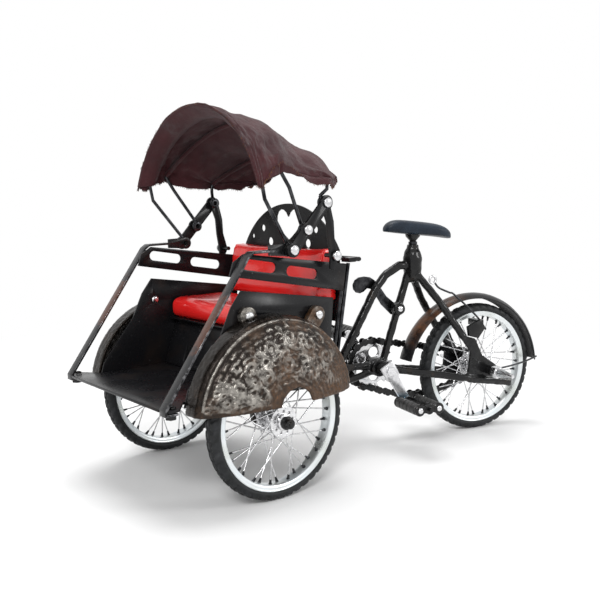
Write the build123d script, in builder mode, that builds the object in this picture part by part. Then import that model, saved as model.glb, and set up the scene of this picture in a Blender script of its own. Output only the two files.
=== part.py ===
"""Iron miniature of a cycle rickshaw: a two-wheeled passenger cabin pushed by a pedalled rear frame.

Ground is z = 0 and +Z is up. The cabin faces -Y, so its left side is +X. The front axle lies over
the origin. The rear frame is drawn straight behind the kingpin and then turned about it.
"""
import math
import os

from build123d import *

os.makedirs("parts", exist_ok=True)

# ---------------------------------------------------------------- driving dimensions, mm and degrees
TYRE_RADIUS = 42.0
TYRE_WIDTH = 9.0
RIM_RADIUS = 36.9
RIM_WIDTH = 8.0
RIM_BORE_RADIUS = 33.6
HALF_TRACK = 57.0          # cabin centre to the middle of a front wheel
KINGPIN_Y = 17.0           # steering axis behind the front axle
WHEEL_BASE = 166.0         # kingpin to rear axle
STEER_AT_REST = -14.3      # turn of the rear frame about the kingpin as it stands
AXLE_RADIUS = 1.5
KINGPIN_RADIUS = 2.0
RUNNING_GAP = 0.06         # radial gap of every turning fit
SHEET = 1.2                # sheet metal of the cabin

PANEL_X = 47.7             # outer face of the cabin's side panels
FLOOR_TOP = 58.0
FLOOR_FRONT = -65.0
FLOOR_REAR = 47.0
SEAT_TOP = 97.5
BACK_PLATE_Y = 54.5

CRANK_Y = 91.0             # bottom bracket behind the kingpin
CRANK_Z = 49.2
CRANK_LENGTH = 22.0
CRANK_ANGLE = -60.0        # left crank, from straight back towards up
CHAIN_PITCH = 6.35
CHAIN_X = -9.0             # chain line, on the right of the frame
RING_TEETH = 15
SPROCKET_TEETH = 8
CHAIN_LINKS = 36

REAR_PLACE = Location((0, KINGPIN_Y, 0), (0, 0, STEER_AT_REST))
AXLE_Z = TYRE_RADIUS


def write(piece, name, place=Location()):
    """Label a finished piece, put it in its place and write it as one STEP."""
    placed = piece.part.moved(place)
    placed.label = name
    export_step(placed, f"parts/{name}.step")


def yz_plane(x):
    """Plane across X whose local axes are vehicle Y and Z."""
    return Plane(origin=(x, 0, 0), x_dir=(0, 1, 0), z_dir=(1, 0, 0))


def tube(points, radius):
    """Solids of a round bar through the given points, with a ball at each inner bend."""
    solids = []
    for start, end in zip(points, points[1:]):
        way = Vector(*end) - Vector(*start)
        solids.append(Solid.make_cylinder(radius, way.length, Plane(origin=start, z_dir=way)))
    for bend in points[1:-1]:
        solids.append(Solid.make_sphere(radius, Plane(origin=bend), angle1=-90, angle2=90))
    return solids


def bolt(x, y, z, side, length, radius=2.6, head=1.6):
    """Solids of a round-headed bolt whose head's outer face is at x and whose shank runs inward."""
    inward = Plane(origin=(x, y, z), z_dir=(-side, 0, 0))
    return [
        Solid.make_cylinder(radius, head, inward),
        Solid.make_cylinder(1.2, length, inward),
    ]


# ---------------------------------------------------------------- wheels, drawn about the X axis
HUB_END = 8.0
FLANGE_X = 5.6
FLANGE_RADIUS = 8.4
SPOKE_RADIUS = 0.34
SPOKES_PER_SIDE = 18
SPOKE_CIRCLE = 7.6
SPOKE_SWEEP = 60.0         # a spoke's rim end is turned this far round from its hub end


def make_tyre():
    with BuildPart() as tyre:
        with BuildSketch(Plane.XY):
            with Locations((0, (RIM_RADIUS + TYRE_RADIUS) / 2)):
                RectangleRounded(TYRE_WIDTH, TYRE_RADIUS - RIM_RADIUS, 2.4)
        revolve(axis=Axis.X)
    return tyre


def make_rim():
    half = RIM_WIDTH / 2
    lip = RIM_RADIUS - 0.04
    with BuildPart() as rim:
        with BuildSketch(Plane.XY):
            Polygon(
                (-half, lip), (-half, lip - 1.6), (-half + 1.4, RIM_BORE_RADIUS),
                (half - 1.4, RIM_BORE_RADIUS), (half, lip - 1.6), (half, lip), align=None,
            )
        revolve(axis=Axis.X)
    return rim


def spoke(side, index):
    """One laced spoke: odd and even ones lean opposite ways on opposite faces of the flange."""
    lean = 1 if index % 2 == 0 else -1
    pitch = 360 / SPOKES_PER_SIDE
    hub_angle = math.radians(index * pitch + (pitch / 2 if side < 0 else 0))
    rim_angle = hub_angle + math.radians(lean * SPOKE_SWEEP)
    reach = RIM_BORE_RADIUS - 0.15
    hub_x = side * (FLANGE_X + lean * 0.55)
    start = Vector(hub_x, SPOKE_CIRCLE * math.cos(hub_angle), SPOKE_CIRCLE * math.sin(hub_angle))
    end = Vector(side * 1.0, reach * math.cos(rim_angle), reach * math.sin(rim_angle))
    way = end - start
    return Solid.make_cylinder(SPOKE_RADIUS, way.length, Plane(origin=start, z_dir=way))


def make_hub():
    with BuildPart() as hub:
        with BuildSketch(Plane.XY):
            Polygon(
                (-HUB_END, 0), (-HUB_END, 4.2), (-6.6, 4.2), (-6.6, FLANGE_RADIUS),
                (-4.6, FLANGE_RADIUS), (-4.6, 3.4), (4.6, 3.4), (4.6, FLANGE_RADIUS),
                (6.6, FLANGE_RADIUS), (6.6, 4.2), (HUB_END, 4.2), (HUB_END, 0), align=None,
            )
        revolve(axis=Axis.X)
        add([spoke(side, index) for side in (-1, 1) for index in range(SPOKES_PER_SIDE)])
        with BuildSketch(yz_plane(-HUB_END)):
            Circle(AXLE_RADIUS + RUNNING_GAP)
        extrude(amount=2 * HUB_END, mode=Mode.SUBTRACT)
    return hub


tyre_master = make_tyre()
rim_master = make_rim()
hub_master = make_hub()
WHEEL_PLACES = {
    "front_left": Location((HALF_TRACK, 0, AXLE_Z)),
    "front_right": Location((-HALF_TRACK, 0, AXLE_Z)),
    "rear": REAR_PLACE * Location((0, WHEEL_BASE, AXLE_Z)),
}
for wheel_name, wheel_place in WHEEL_PLACES.items():
    write(tyre_master, f"tyre_{wheel_name}", wheel_place)
    write(rim_master, f"rim_{wheel_name}", wheel_place)
    write(hub_master, f"spoked_hub_{wheel_name}", wheel_place)


# ---------------------------------------------------------------- cabin: floor, panels, seat, back
with BuildPart() as floor_board:
    with BuildSketch(Plane.XY.offset(FLOOR_TOP - 1.5)):
        Polygon(
            (-50.6, FLOOR_FRONT), (50.6, FLOOR_FRONT), (50.6, FLOOR_FRONT + 1.8), (57, FLOOR_FRONT + 1.8),
            (57, FLOOR_FRONT + 8), (46.4, FLOOR_FRONT + 16), (46.4, FLOOR_REAR), (-46.4, FLOOR_REAR),
            (-46.4, FLOOR_FRONT + 16), (-57, FLOOR_FRONT + 8), (-57, FLOOR_FRONT + 1.8),
            (-50.6, FLOOR_FRONT + 1.8), align=None,
        )
        with Locations((0, KINGPIN_Y)):
            Circle(KINGPIN_RADIUS + 0.02, mode=Mode.SUBTRACT)
    extrude(amount=1.5)
write(floor_board, "floor_board")

with BuildPart() as floor_bolts:
    for side in (-1, 1):
        add(Solid.make_cylinder(2.7, 2.0, Plane(origin=(side * 54.0, -60.2, 52.9))))
        add(Solid.make_cylinder(2.2, 1.6, Plane(origin=(side * 54.0, -59.0, FLOOR_TOP))))
write(floor_bolts, "floor_bolts")

PANEL_OUTLINE = [(-13.4, 109.9), (48.4, 100.7), (44.0, 55.0), (-49.0, 55.0), (-46.5, 63.0),
                 (-36.5, 76.0), (-26.5, 88.0), (-20.0, 101.5)]
LUGS = [(-11.8, 97.0), (34.0, 93.0)]            # y, z of the bolts that hold a fender on its panel
RAIL_OUTLINE = [(-21.0, 117.8), (-18.5, 124.8), (-12.0, 128.6), (57.0, 119.0), (54.6, 104.0)]
RAIL_SLOTS = [(-2.5, 121.8), (25.5, 116.4)]     # slot centres
SLOT_LENGTH = 21.5
SLOT_HEIGHT = 5.6
RAIL_SLOPE = -10.0
for side, side_name in ((1, "left"), (-1, "right")):
    inner = side * (PANEL_X - SHEET)
    with BuildPart() as side_panel:
        with BuildSketch(yz_plane(inner)):
            Polygon(*PANEL_OUTLINE, align=None)
            with Locations(*LUGS):
                Circle(1.3, mode=Mode.SUBTRACT)
        extrude(amount=side * SHEET)
    write(side_panel, f"side_panel_{side_name}")

    with BuildPart() as side_rail:
        with BuildSketch(yz_plane(side * 48.0)):
            Polygon(*RAIL_OUTLINE, align=None)
            with Locations(*[Location((y, z), RAIL_SLOPE) for y, z in RAIL_SLOTS]):
                SlotOverall(SLOT_LENGTH, SLOT_HEIGHT, mode=Mode.SUBTRACT)
        extrude(amount=side * SHEET)
    write(side_rail, f"side_rail_{side_name}")

# Kick plate: closes the seat box in front and leans forward towards its foot.
KICK_HALF = 46.4
KICK_TOP = (2.4, 84.4)     # y, z of its front face at the top
KICK_FOOT_Y = -7.0
KICK_HOLES = [(-22.0, 9.0), (22.0, 26.0)]       # centre x and width
KICK_HOLE_Z = 66.0
KICK_HOLE_HEIGHT = 9.0
with BuildPart() as kick_plate:
    with BuildSketch(yz_plane(-KICK_HALF)):
        Polygon(KICK_TOP, (KICK_TOP[0] + SHEET, KICK_TOP[1]), (KICK_FOOT_Y + SHEET, FLOOR_TOP + 0.02),
                (KICK_FOOT_Y, FLOOR_TOP + 0.02), align=None)
    extrude(amount=2 * KICK_HALF)
    for hole_x, hole_width in KICK_HOLES:
        with Locations((hole_x, 0, KICK_HOLE_Z)):
            Box(hole_width, 30.0, KICK_HOLE_HEIGHT, mode=Mode.SUBTRACT)
write(kick_plate, "kick_plate")

with BuildPart() as seat_board:
    with Locations((0, 21.0, 85.2)):
        Box(92.8, 46.0, SHEET)
write(seat_board, "seat_board")

with BuildPart() as seat_cushion:
    with Locations((0, 18.0, (SEAT_TOP + 85.9) / 2)):
        Box(90.0, 41.0, SEAT_TOP - 85.9)
    fillet(seat_cushion.edges().filter_by(Axis.X).group_by(Axis.Y)[0], 4.5)
write(seat_cushion, "seat_cushion")

with BuildPart() as back_cushion:
    with BuildSketch(yz_plane(-44.6)):
        Polygon((38.9, SEAT_TOP + 0.1), (43.4, 124.0), (45.4, 127.4), (54.1, 127.4),
                (54.1, SEAT_TOP + 0.1), align=None)
    extrude(amount=89.2)
write(back_cushion, "back_cushion")

HEART_CENTRE_Z = 141.0
with BuildPart() as back_plate:
    with BuildSketch(Plane.XZ.offset(-BACK_PLATE_Y)):
        with BuildLine():
            Polyline((-45.6, 126.5), (-45.6, 86.0), (45.6, 86.0), (45.6, 126.5))
            ThreePointArc((45.6, 126.5), (0, 152.6), (-45.6, 126.5))
        make_face()
        with BuildSketch(mode=Mode.PRIVATE) as heart:
            with BuildLine():
                Line((0, HEART_CENTRE_Z - 9.0), (11.6, HEART_CENTRE_Z + 1.6))
                ThreePointArc((11.6, HEART_CENTRE_Z + 1.6), (6.6, HEART_CENTRE_Z + 8.0),
                              (0, HEART_CENTRE_Z + 3.6))
                ThreePointArc((0, HEART_CENTRE_Z + 3.6), (-6.6, HEART_CENTRE_Z + 8.0),
                              (-11.6, HEART_CENTRE_Z + 1.6))
                Line((-11.6, HEART_CENTRE_Z + 1.6), (0, HEART_CENTRE_Z - 9.0))
            make_face()
        add(heart.sketch, mode=Mode.SUBTRACT)
        for hole_x, hole_z in ((17.5, 133.5), (25.5, 141.0), (36.0, 135.0), (8.0, 129.9)):
            with Locations((hole_x, hole_z), (-hole_x, hole_z)):
                Ellipse(1.5, 2.0, mode=Mode.SUBTRACT)
    extrude(amount=-SHEET)
write(back_plate, "heart_back_plate")

UPRIGHT_X = 46.85
# Rear uprights: two thin rods a side, leaning back with the seat.
for side, side_name in ((1, "left"), (-1, "right")):
    with BuildPart() as uprights:
        for shift in (0.0, 3.0):
            add(tube([(side * UPRIGHT_X, 46.5 + shift, FLOOR_TOP + 0.1),
                      (side * UPRIGHT_X, 57.5 + shift, 119.0)], 1.1))
        with Locations((side * 45.5, 49.3, FLOOR_TOP - 0.9)):
            Box(5.0, 4.4, 2.4)
    write(uprights, f"rear_uprights_{side_name}")

# Push handle: a round bar bent round the back of the cabin at the top of the uprights.
with BuildPart() as push_handle:
    add(tube([(47.0, 57.2, 121.5), (45.5, 70.0, 120.6), (-45.5, 70.0, 120.6), (-47.0, 57.2, 121.5)], 1.3))
    for side in (-1, 1):
        with Locations((side * 49.6, 58.4, 121.2)):
            Box(6.4, 5.0, 2.4)
write(push_handle, "push_handle")


# ---------------------------------------------------------------- arm straps and hood linkage
BOLT_1 = (13.9, 129.4)
BOLT_2 = (23.4, 139.4)
BOLT_3 = (37.0, 153.4)
BOLT_4 = (43.2, 124.6)
STRAP_X = 54.0
BAR_X = 55.6               # inner face of the hood bars
for side, side_name in ((1, "left"), (-1, "right")):
    with BuildPart() as hand_strap:
        with BuildSketch(yz_plane(side * (STRAP_X - 3.0))):
            with BuildLine():
                Polyline((-57.5, 54.9), (-64.8, 54.9), (-64.8, 58.2), (-14.6, 128.0), (-11.6, 130.0),
                         (3.0, 130.2), (3.0, 129.0), (-11.2, 128.8), (-13.8, 127.0),
                         (-63.6, 57.4), (-63.6, 56.1), (-57.5, 56.1), close=True)
            make_face()
        extrude(amount=side * 6.0)
        with BuildSketch(yz_plane(side * 51.0)):
            with Locations(BOLT_1):
                Circle(3.6)
            Polygon((1.5, 132.4), (BOLT_1[0], 132.8), (BOLT_1[0], 126.0), (1.5, 127.0), align=None)
            with Locations(BOLT_1):
                Circle(1.3, mode=Mode.SUBTRACT)
        extrude(amount=side * SHEET)
    write(hand_strap, f"hand_strap_{side_name}")

    with BuildPart() as hood_bar:
        with BuildSketch(yz_plane(side * BAR_X)):
            for start, end in ((BOLT_1, BOLT_2), (BOLT_2, BOLT_3)):
                middle = ((start[0] + end[0]) / 2, (start[1] + end[1]) / 2)
                turn = math.degrees(math.atan2(end[1] - start[1], end[0] - start[0]))
                with Locations(Location(middle, turn)):
                    SlotCenterToCenter(math.dist(start, end), 6.4)
            for centre in (BOLT_1, BOLT_2, BOLT_3):
                with Locations(centre):
                    Circle(3.9)
            for centre in (BOLT_1, BOLT_2, BOLT_3):
                with Locations(centre):
                    Circle(1.3, mode=Mode.SUBTRACT)
        extrude(amount=side * 1.5)
    write(hood_bar, f"hood_bar_{side_name}")

    with BuildPart() as hood_strut:
        with BuildSketch(yz_plane(side * 53.9)):
            with BuildLine():
                Polyline((34.0, 154.4), (40.0, 154.4), (43.0, 143.0), (43.4, 134.0), (46.4, 124.0),
                         (43.0, 117.0), (40.2, 117.6), (40.4, 124.0), (38.8, 134.0), (38.2, 143.0),
                         close=True)
            make_face()
            for centre in (BOLT_3, BOLT_4):
                with Locations(centre):
                    Circle(1.3, mode=Mode.SUBTRACT)
        extrude(amount=side * 1.4)
    write(hood_strut, f"hood_strut_{side_name}")

    with BuildPart() as hood_bolts:
        for (bolt_y, bolt_z), reach in ((BOLT_1, 11.2), (BOLT_2, 4.2), (BOLT_3, 5.4), (BOLT_4, 11.2)):
            add(bolt(side * (BAR_X + 3.2), bolt_y, bolt_z, side, reach))
    write(hood_bolts, f"hood_bolts_{side_name}")


# ---------------------------------------------------------------- hood: three wire bows and the canopy
BOW_RADIUS = 1.0
EYE_X = 53.0
# One row per bow: bolt, knee, foot of the arch (y, z each), half width, rise and lean-back at the top.
BOWS = {
    "front": (BOLT_1, (-4.3, 156.0), (-5.9, 164.5), 57.5, 39.5, 2.0),
    "middle": (BOLT_2, (11.0, 161.5), (5.5, 169.8), 58.0, 33.0, 15.0),
    "rear": (BOLT_3, (37.4, 160.5), (37.6, 164.5), 56.5, 24.5, 16.0),
}
ARCH_FLANK = 0.15          # flank radius of an arch over its rise
ARC_STEPS = 12             # straight pieces of a bow's crown


def arch_arcs(half_width, height):
    """A three-centred arch: flank radius, crown radius and the angle where the two arcs meet."""
    flank = ARCH_FLANK * height
    crown = ((half_width - flank) ** 2 + height ** 2 - flank ** 2) / (2 * (height - flank))
    return flank, crown, math.atan2(crown - height, half_width - flank)


def arch_point(half_width, height, angle):
    """Point of the arch where its outward normal is at this angle from straight out to the side."""
    flank, crown, meet = arch_arcs(half_width, height)
    turn = min(angle, math.pi - angle)
    if turn <= meet:
        across, up = half_width - flank + flank * math.cos(turn), flank * math.sin(turn)
    else:
        across, up = crown * math.cos(turn), height - crown + crown * math.sin(turn)
    return (across if angle <= math.pi / 2 else -across, up)


for bow_name, (start, knee, foot, half_width, rise, lean) in BOWS.items():
    height = math.hypot(rise, lean)
    meet = arch_arcs(half_width, height)[2]
    crown = [meet + (math.pi - 2 * meet) * step / ARC_STEPS for step in range(ARC_STEPS + 1)]
    angles = [0.0] + crown + [math.pi]
    arch = []
    for angle in angles:
        across, up = arch_point(half_width, height, angle)
        arch.append((across, foot[0] + up * lean / height, foot[1] + up * rise / height))
    wire_foot = (start[0] - 1.5, start[1] + 4.6)
    left = [(EYE_X, *wire_foot), (half_width, *knee)]
    right = [(-half_width, *knee), (-EYE_X, *wire_foot)]
    with BuildPart() as bow:
        add(tube(left + arch + right, BOW_RADIUS))
        for side in (-1, 1):
            with BuildSketch(yz_plane(side * (EYE_X - 0.7))):
                with Locations(start):
                    Circle(3.2)
                with Locations((start[0] - 0.8, start[1] + 2.8)):
                    Circle(2.0)
                with Locations(start):
                    Circle(1.3, mode=Mode.SUBTRACT)
            extrude(amount=side * 1.4)
    write(bow, f"hood_bow_{bow_name}")


def arch_face(y, z, half_width, rise, lean, hang):
    """Filled arch whose legs hang below its foot, its top leaning back, for the canopy's loft."""
    height = math.hypot(rise, lean)
    tilt = math.degrees(math.atan2(lean, rise))
    plane = Plane(origin=(0, y, z), x_dir=(1, 0, 0), z_dir=(0, -1, 0)).rotated((-tilt, 0, 0))
    meet = arch_arcs(half_width, height)[2]
    corner, shoulder, bend = (arch_point(half_width, height, a) for a in (0.0, meet / 2, meet))
    with BuildSketch(plane, mode=Mode.PRIVATE) as arch:
        with BuildLine():
            Polyline((-half_width, 0), (-half_width, -hang), (half_width, -hang), (half_width, 0))
            ThreePointArc(corner, shoulder, bend)
            ThreePointArc(bend, (0, height), (-bend[0], bend[1]))
            ThreePointArc((-bend[0], bend[1]), (-shoulder[0], shoulder[1]), (-half_width, 0))
        make_face()
    return arch.sketch


CLOTH = 1.0
CLOTH_OVER_BOW = BOW_RADIUS + 1.0
# One row per canopy section: y and z of its foot, half width, rise and lean-back of its inner face.
CANOPY = [(-11.5, 164.0, 59.5, 41.0, 1.0)]
CANOPY += [(foot[0], foot[1], half_width, rise, lean) for _, _, foot, half_width, rise, lean in BOWS.values()]
CANOPY += [(57.0, 165.0, 37.5, 18.5, 1.0)]


def canopy_block(outset, hang, rear):
    faces = []
    for index, (y, z, half_width, rise, lean) in enumerate(CANOPY):
        shift = rear if index == len(CANOPY) - 1 else 0.0
        faces.append(arch_face(y + shift, z, half_width + outset, rise + outset, lean, hang))
    return loft(faces, ruled=True, mode=Mode.PRIVATE)


canopy_outer = canopy_block(CLOTH_OVER_BOW + CLOTH, 0.6, 1.0)
canopy_inner = canopy_block(CLOTH_OVER_BOW, 3.0, 0.0)
with BuildPart() as canopy:
    add(canopy_outer)
    add(canopy_inner, mode=Mode.SUBTRACT)
    with Locations((0, CANOPY[0][0] - 5.0, 185.0)):
        Box(130.0, 10.02, 60.0, mode=Mode.SUBTRACT)
write(canopy, "canopy")


# ---------------------------------------------------------------- cast fenders over the front wheels
FENDER_RADIUS = 50.0
FENDER_CENTRE_Z = 47.0
FENDER_BULGE = 22.0
FENDER_SHOULDER = 8.0
FENDER_FOOT = 52.0         # z of its lower edge
FENDER_WALL = 1.8
FENDER_INNER_X = 49.0
LUG_RADIUS = 4.8


def quarter_dome(wall):
    """Half section beside the X axis: a straight shoulder over the tyre, then a quarter ellipse."""
    crest = FENDER_RADIUS - wall
    with BuildSketch(Plane.XY, mode=Mode.PRIVATE) as quarter:
        with BuildLine():
            EllipticalCenterArc((FENDER_SHOULDER, 0), FENDER_BULGE - FENDER_SHOULDER - wall, crest, arc_size=90)
            Polyline((FENDER_SHOULDER, crest), (0, crest), (0, 0), (FENDER_BULGE - wall, 0))
        make_face()
    return quarter.sketch


with BuildPart() as fender_shell:
    with BuildSketch(Plane.XY):
        add(quarter_dome(0.0))
        add(quarter_dome(FENDER_WALL), mode=Mode.SUBTRACT)
    revolve(axis=Axis.X)
    with Locations((0, 0, FENDER_FOOT - FENDER_CENTRE_Z - 40.0)):
        Box(100.0, 160.0, 80.0, mode=Mode.SUBTRACT)
    with BuildSketch(yz_plane(6.0)):
        with Locations((4.0, 50.0 - FENDER_CENTRE_Z)):
            Circle(10.5)
    extrude(amount=30.0, mode=Mode.SUBTRACT)

for side, side_name in ((1, "left"), (-1, "right")):
    shell = fender_shell.part if side > 0 else fender_shell.part.mirror(Plane.YZ)
    with BuildPart() as fender:
        add(shell.moved(Location((side * FENDER_INNER_X, 0, FENDER_CENTRE_Z))))
        for lug_y, lug_z in LUGS:
            # The lug's web runs from its centre down to the crest of the shell.
            outward = math.atan2(lug_z - FENDER_CENTRE_Z, lug_y)
            web_start = FENDER_RADIUS - FENDER_WALL + 0.2
            web_length = math.dist((lug_y, lug_z), (0, FENDER_CENTRE_Z)) - web_start
            web_middle = (web_start + web_length / 2) * Vector(math.cos(outward), math.sin(outward))
            with BuildSketch(yz_plane(side * PANEL_X)):
                with Locations((lug_y, lug_z)):
                    Circle(LUG_RADIUS)
                with Locations(Location((web_middle.X, web_middle.Y + FENDER_CENTRE_Z),
                                        math.degrees(outward))):
                    Rectangle(web_length, 2 * LUG_RADIUS)
                with Locations((lug_y, lug_z)):
                    Circle(1.3, mode=Mode.SUBTRACT)
            extrude(amount=side * 4.0)
            with BuildSketch(yz_plane(side * (PANEL_X + 4.0))):
                with Locations((lug_y, lug_z)):
                    Circle(2.8)
            extrude(amount=side * 4.0, mode=Mode.SUBTRACT)
    write(fender, f"cast_fender_{side_name}")

    with BuildPart() as fender_bolts:
        for lug_y, lug_z in LUGS:
            add(bolt(side * (PANEL_X + 6.0), lug_y, lug_z, side, 8.6, radius=2.4, head=1.9))
    write(fender_bolts, f"fender_bolts_{side_name}")


# ---------------------------------------------------------------- front axle and kingpin
AXLE_END = HALF_TRACK + HUB_END + 5.5
with BuildPart() as front_axle:
    add(tube([(-AXLE_END, 0, AXLE_Z), (AXLE_END, 0, AXLE_Z)], AXLE_RADIUS))
    for side in (-1, 1):
        nut_plane = Plane(origin=(side * (HALF_TRACK + HUB_END + 0.3), 0, AXLE_Z), z_dir=(side, 0, 0))
        add(Solid.make_cylinder(3.6, 1.2, nut_plane))
        add(Solid.make_cylinder(2.6, 4.2, nut_plane))
        bracket_plane = Plane(origin=(side * 42.0, 0, AXLE_Z), z_dir=(side, 0, 0))
        add(Solid.make_cylinder(6.5, 3.0, bracket_plane))
        add(Solid.make_cylinder(2.6, 6.6, bracket_plane))
        with Locations((side * 43.5, 0, 49.2)):
            Box(3.0, 13.0, 14.2)
write(front_axle, "front_axle")

with BuildPart() as kingpin:
    add(Solid.make_cylinder(KINGPIN_RADIUS, 24.6, Plane(origin=(0, KINGPIN_Y, 36.4))))
    add(Solid.make_cylinder(3.8, 2.2, Plane(origin=(0, KINGPIN_Y, 36.4))))
    add(Solid.make_cylinder(3.8, 2.2, Plane(origin=(0, KINGPIN_Y, FLOOR_TOP))))
    add(Solid.make_cylinder(5.0, 3.2, Plane(origin=(0, KINGPIN_Y, FLOOR_TOP - 1.5 - 3.2))))
write(kingpin, "kingpin")


# ---------------------------------------------------------------- rear frame, straight behind the kingpin
UPPER_ARM_Z = 50.4
LOWER_ARM_Z = 42.6
# One row per tube: radius, then its points as (y, z) on the centre plane.
FRAME_TUBES = [
    (2.7, (116.0, 112.0), (108.0, 112.2), (98.0, 107.0), (90.6, 98.5), (63.5, 51.5)),
    (2.4, (114.5, 108.0), (95.5, 52.0)),
    (2.2, (4.0, UPPER_ARM_Z), (88.0, UPPER_ARM_Z)),
    (2.2, (4.0, LOWER_ARM_Z), (72.0, LOWER_ARM_Z), (88.0, 46.5)),
]
with BuildPart() as main_frame:
    for radius, *points in FRAME_TUBES:
        add(tube([(0, y, z) for y, z in points], radius))
    add(Solid.make_cone(5.2, 3.6, 17.5, Plane(origin=(0, 118.0, 107.5))))
    add(Solid.make_sphere(5.2, Plane(origin=(0, 118.0, 107.5)), angle1=-90, angle2=90))
    with BuildSketch(yz_plane(-5.5)):
        with Locations((CRANK_Y, CRANK_Z)):
            Circle(5.6)
    extrude(amount=11.0)
    with BuildSketch(yz_plane(-3.2)):
        with Locations((106.6, 85.0)):
            Circle(3.9)
    extrude(amount=6.4)
    add(Solid.make_cylinder(4.3, 13.4, Plane(origin=(0, 0, 39.8))))
    add(Solid.make_cylinder(KINGPIN_RADIUS + RUNNING_GAP, 20.0, Plane(origin=(0, 0, 36.0))),
        mode=Mode.SUBTRACT)
    with BuildSketch(yz_plane(-6.0)):
        with Locations((CRANK_Y, CRANK_Z)):
            Circle(2.4 + RUNNING_GAP)
    extrude(amount=12.0, mode=Mode.SUBTRACT)
    with BuildSketch(Plane.XY.offset(118.0)):
        with Locations((0, 118.0)):
            Circle(1.7)
    extrude(amount=10.0, mode=Mode.SUBTRACT)
write(main_frame, "main_frame", REAR_PLACE)

STAY_X = 14.2              # middle of the dropout plates
DROPOUT = [(143.0, 67.5), (155.5, 63.5), (161.0, 52.5), (175.0, 42.5), (185.0, 35.5), (185.0, 29.0),
           (150.0, 35.0), (150.0, 40.0), (152.0, 55.0)]
for side, side_name in ((1, "left"), (-1, "right")):
    with BuildPart() as stays:
        add(tube([(side * 3.0, 118.5, 107.0), (side * 10.8, 131.0, 88.5),
                  (side * STAY_X, 147.0, 65.0)], 2.4))
        add(tube([(side * 3.4, 95.0, 47.8), (side * 4.6, 109.0, 45.4), (side * STAY_X, 146.0, 38.8),
                  (side * STAY_X, 184.0, 32.4)], 2.4))
        with BuildSketch(yz_plane(side * (STAY_X - 1.2))):
            Polygon(*DROPOUT, align=None)
        extrude(amount=side * 2.4)
        with BuildSketch(yz_plane(side * (STAY_X - 3.0))):
            with Locations((WHEEL_BASE, AXLE_Z)):
                Circle(AXLE_RADIUS + 0.02)
        extrude(amount=side * 6.0, mode=Mode.SUBTRACT)
        add(main_frame.part, mode=Mode.SUBTRACT)
    write(stays, f"rear_stays_{side_name}", REAR_PLACE)

PEG_END = 40.0
with BuildPart() as rear_axle:
    add(tube([(-24.0, WHEEL_BASE, AXLE_Z), (24.0, WHEEL_BASE, AXLE_Z)], AXLE_RADIUS))
    for side in (-1, 1):
        face = side * (STAY_X + 1.3)
        add(Solid.make_cylinder(2.9, 6.0, Plane(origin=(face, WHEEL_BASE, AXLE_Z), z_dir=(side, 0, 0))))
        with BuildSketch(yz_plane(face + side * 6.0)):
            with Locations((WHEEL_BASE, AXLE_Z)):
                RegularPolygon(4.2, 6)
        extrude(amount=side * 5.0)
        add(Solid.make_cone(3.0, 1.2, PEG_END - abs(face) - 11.0,
                            Plane(origin=(face + side * 11.0, WHEEL_BASE, AXLE_Z), z_dir=(side, 0, 0))))
write(rear_axle, "rear_axle", REAR_PLACE)

SADDLE_POST_TOP = 133.0
with BuildPart() as saddle_post:
    add(Solid.make_cylinder(1.65, SADDLE_POST_TOP - 118.0, Plane(origin=(0, 118.0, 118.0))))
    add(Solid.make_cylinder(2.8, 1.6, Plane(origin=(0, 118.0, 125.2))))
write(saddle_post, "saddle_post", REAR_PLACE)

# Saddle: a pressed pad, narrow at the nose and broad at the back, its top falling towards the back.
SADDLE_PROFILE = [(94.5, 133.2), (96.6, 136.8), (100.5, 139.8), (105.5, 141.0), (120.6, 139.6),
                  (134.0, 137.6), (141.5, 135.6), (145.6, 131.8), (146.4, 128.2), (142.0, 127.6),
                  (132.0, 130.4), (118.0, 132.0), (104.0, 132.4)]
with BuildPart() as saddle:
    with BuildSketch(Plane.XY.offset(125.0)):
        with BuildLine():
            ThreePointArc((-4.0, 98.5), (0, 94.4), (4.0, 98.5))
            Line((4.0, 98.5), (10.8, 130.0))
            ThreePointArc((10.8, 130.0), (9.4, 141.5), (0, 146.4))
            ThreePointArc((0, 146.4), (-9.4, 141.5), (-10.8, 130.0))
            Line((-10.8, 130.0), (-4.0, 98.5))
        make_face()
    extrude(amount=20.0)
    with BuildSketch(yz_plane(-12.0)):
        Polygon(*SADDLE_PROFILE, align=None)
    extrude(amount=24.0, mode=Mode.INTERSECT)
    with Locations((0, 118.0, SADDLE_POST_TOP - 1.0)):
        Cylinder(1.7, 2.4, mode=Mode.SUBTRACT)
write(saddle, "saddle", REAR_PLACE)

with BuildPart() as brake_lever:
    with BuildSketch(yz_plane(-4.8)):
        with BuildLine():
            Polyline((109.5, 82.0), (103.0, 80.5), (93.0, 90.5), (86.0, 98.4), (79.5, 98.6), (73.0, 97.6),
                     (71.0, 101.0), (74.0, 105.0), (82.0, 106.4), (90.0, 103.6), (97.5, 95.5),
                     (104.0, 88.6), (109.5, 88.0), close=True)
        make_face()
        with Locations((106.6, 85.0)):
            Circle(1.3, mode=Mode.SUBTRACT)
    extrude(amount=1.5)
write(brake_lever, "brake_lever", REAR_PLACE)

with BuildPart() as brake_bracket:
    with BuildSketch(yz_plane(STAY_X + 1.3)):
        Polygon((149.0, 66.0), (156.0, 64.0), (161.0, 70.0), (158.0, 76.0), (148.0, 72.0), align=None)
    extrude(amount=2.2)
    with Locations((11.2, 158.5, 73.5)):
        Box(11.2, 4.0, 4.0)
write(brake_bracket, "brake_bracket", REAR_PLACE)

with BuildPart() as brake_rod:
    add(tube([(15.0, 124.5, 101.5), (14.4, 128.2, 98.0), (14.0, 139.0, 91.0), (15.6, 156.0, 78.0)], 0.6))
    add(Solid.make_torus(2.2, 0.6, Plane(origin=(15.0, 123.0, 103.6), z_dir=(1, 0, 0))))
write(brake_rod, "brake_rod", REAR_PLACE)

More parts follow.
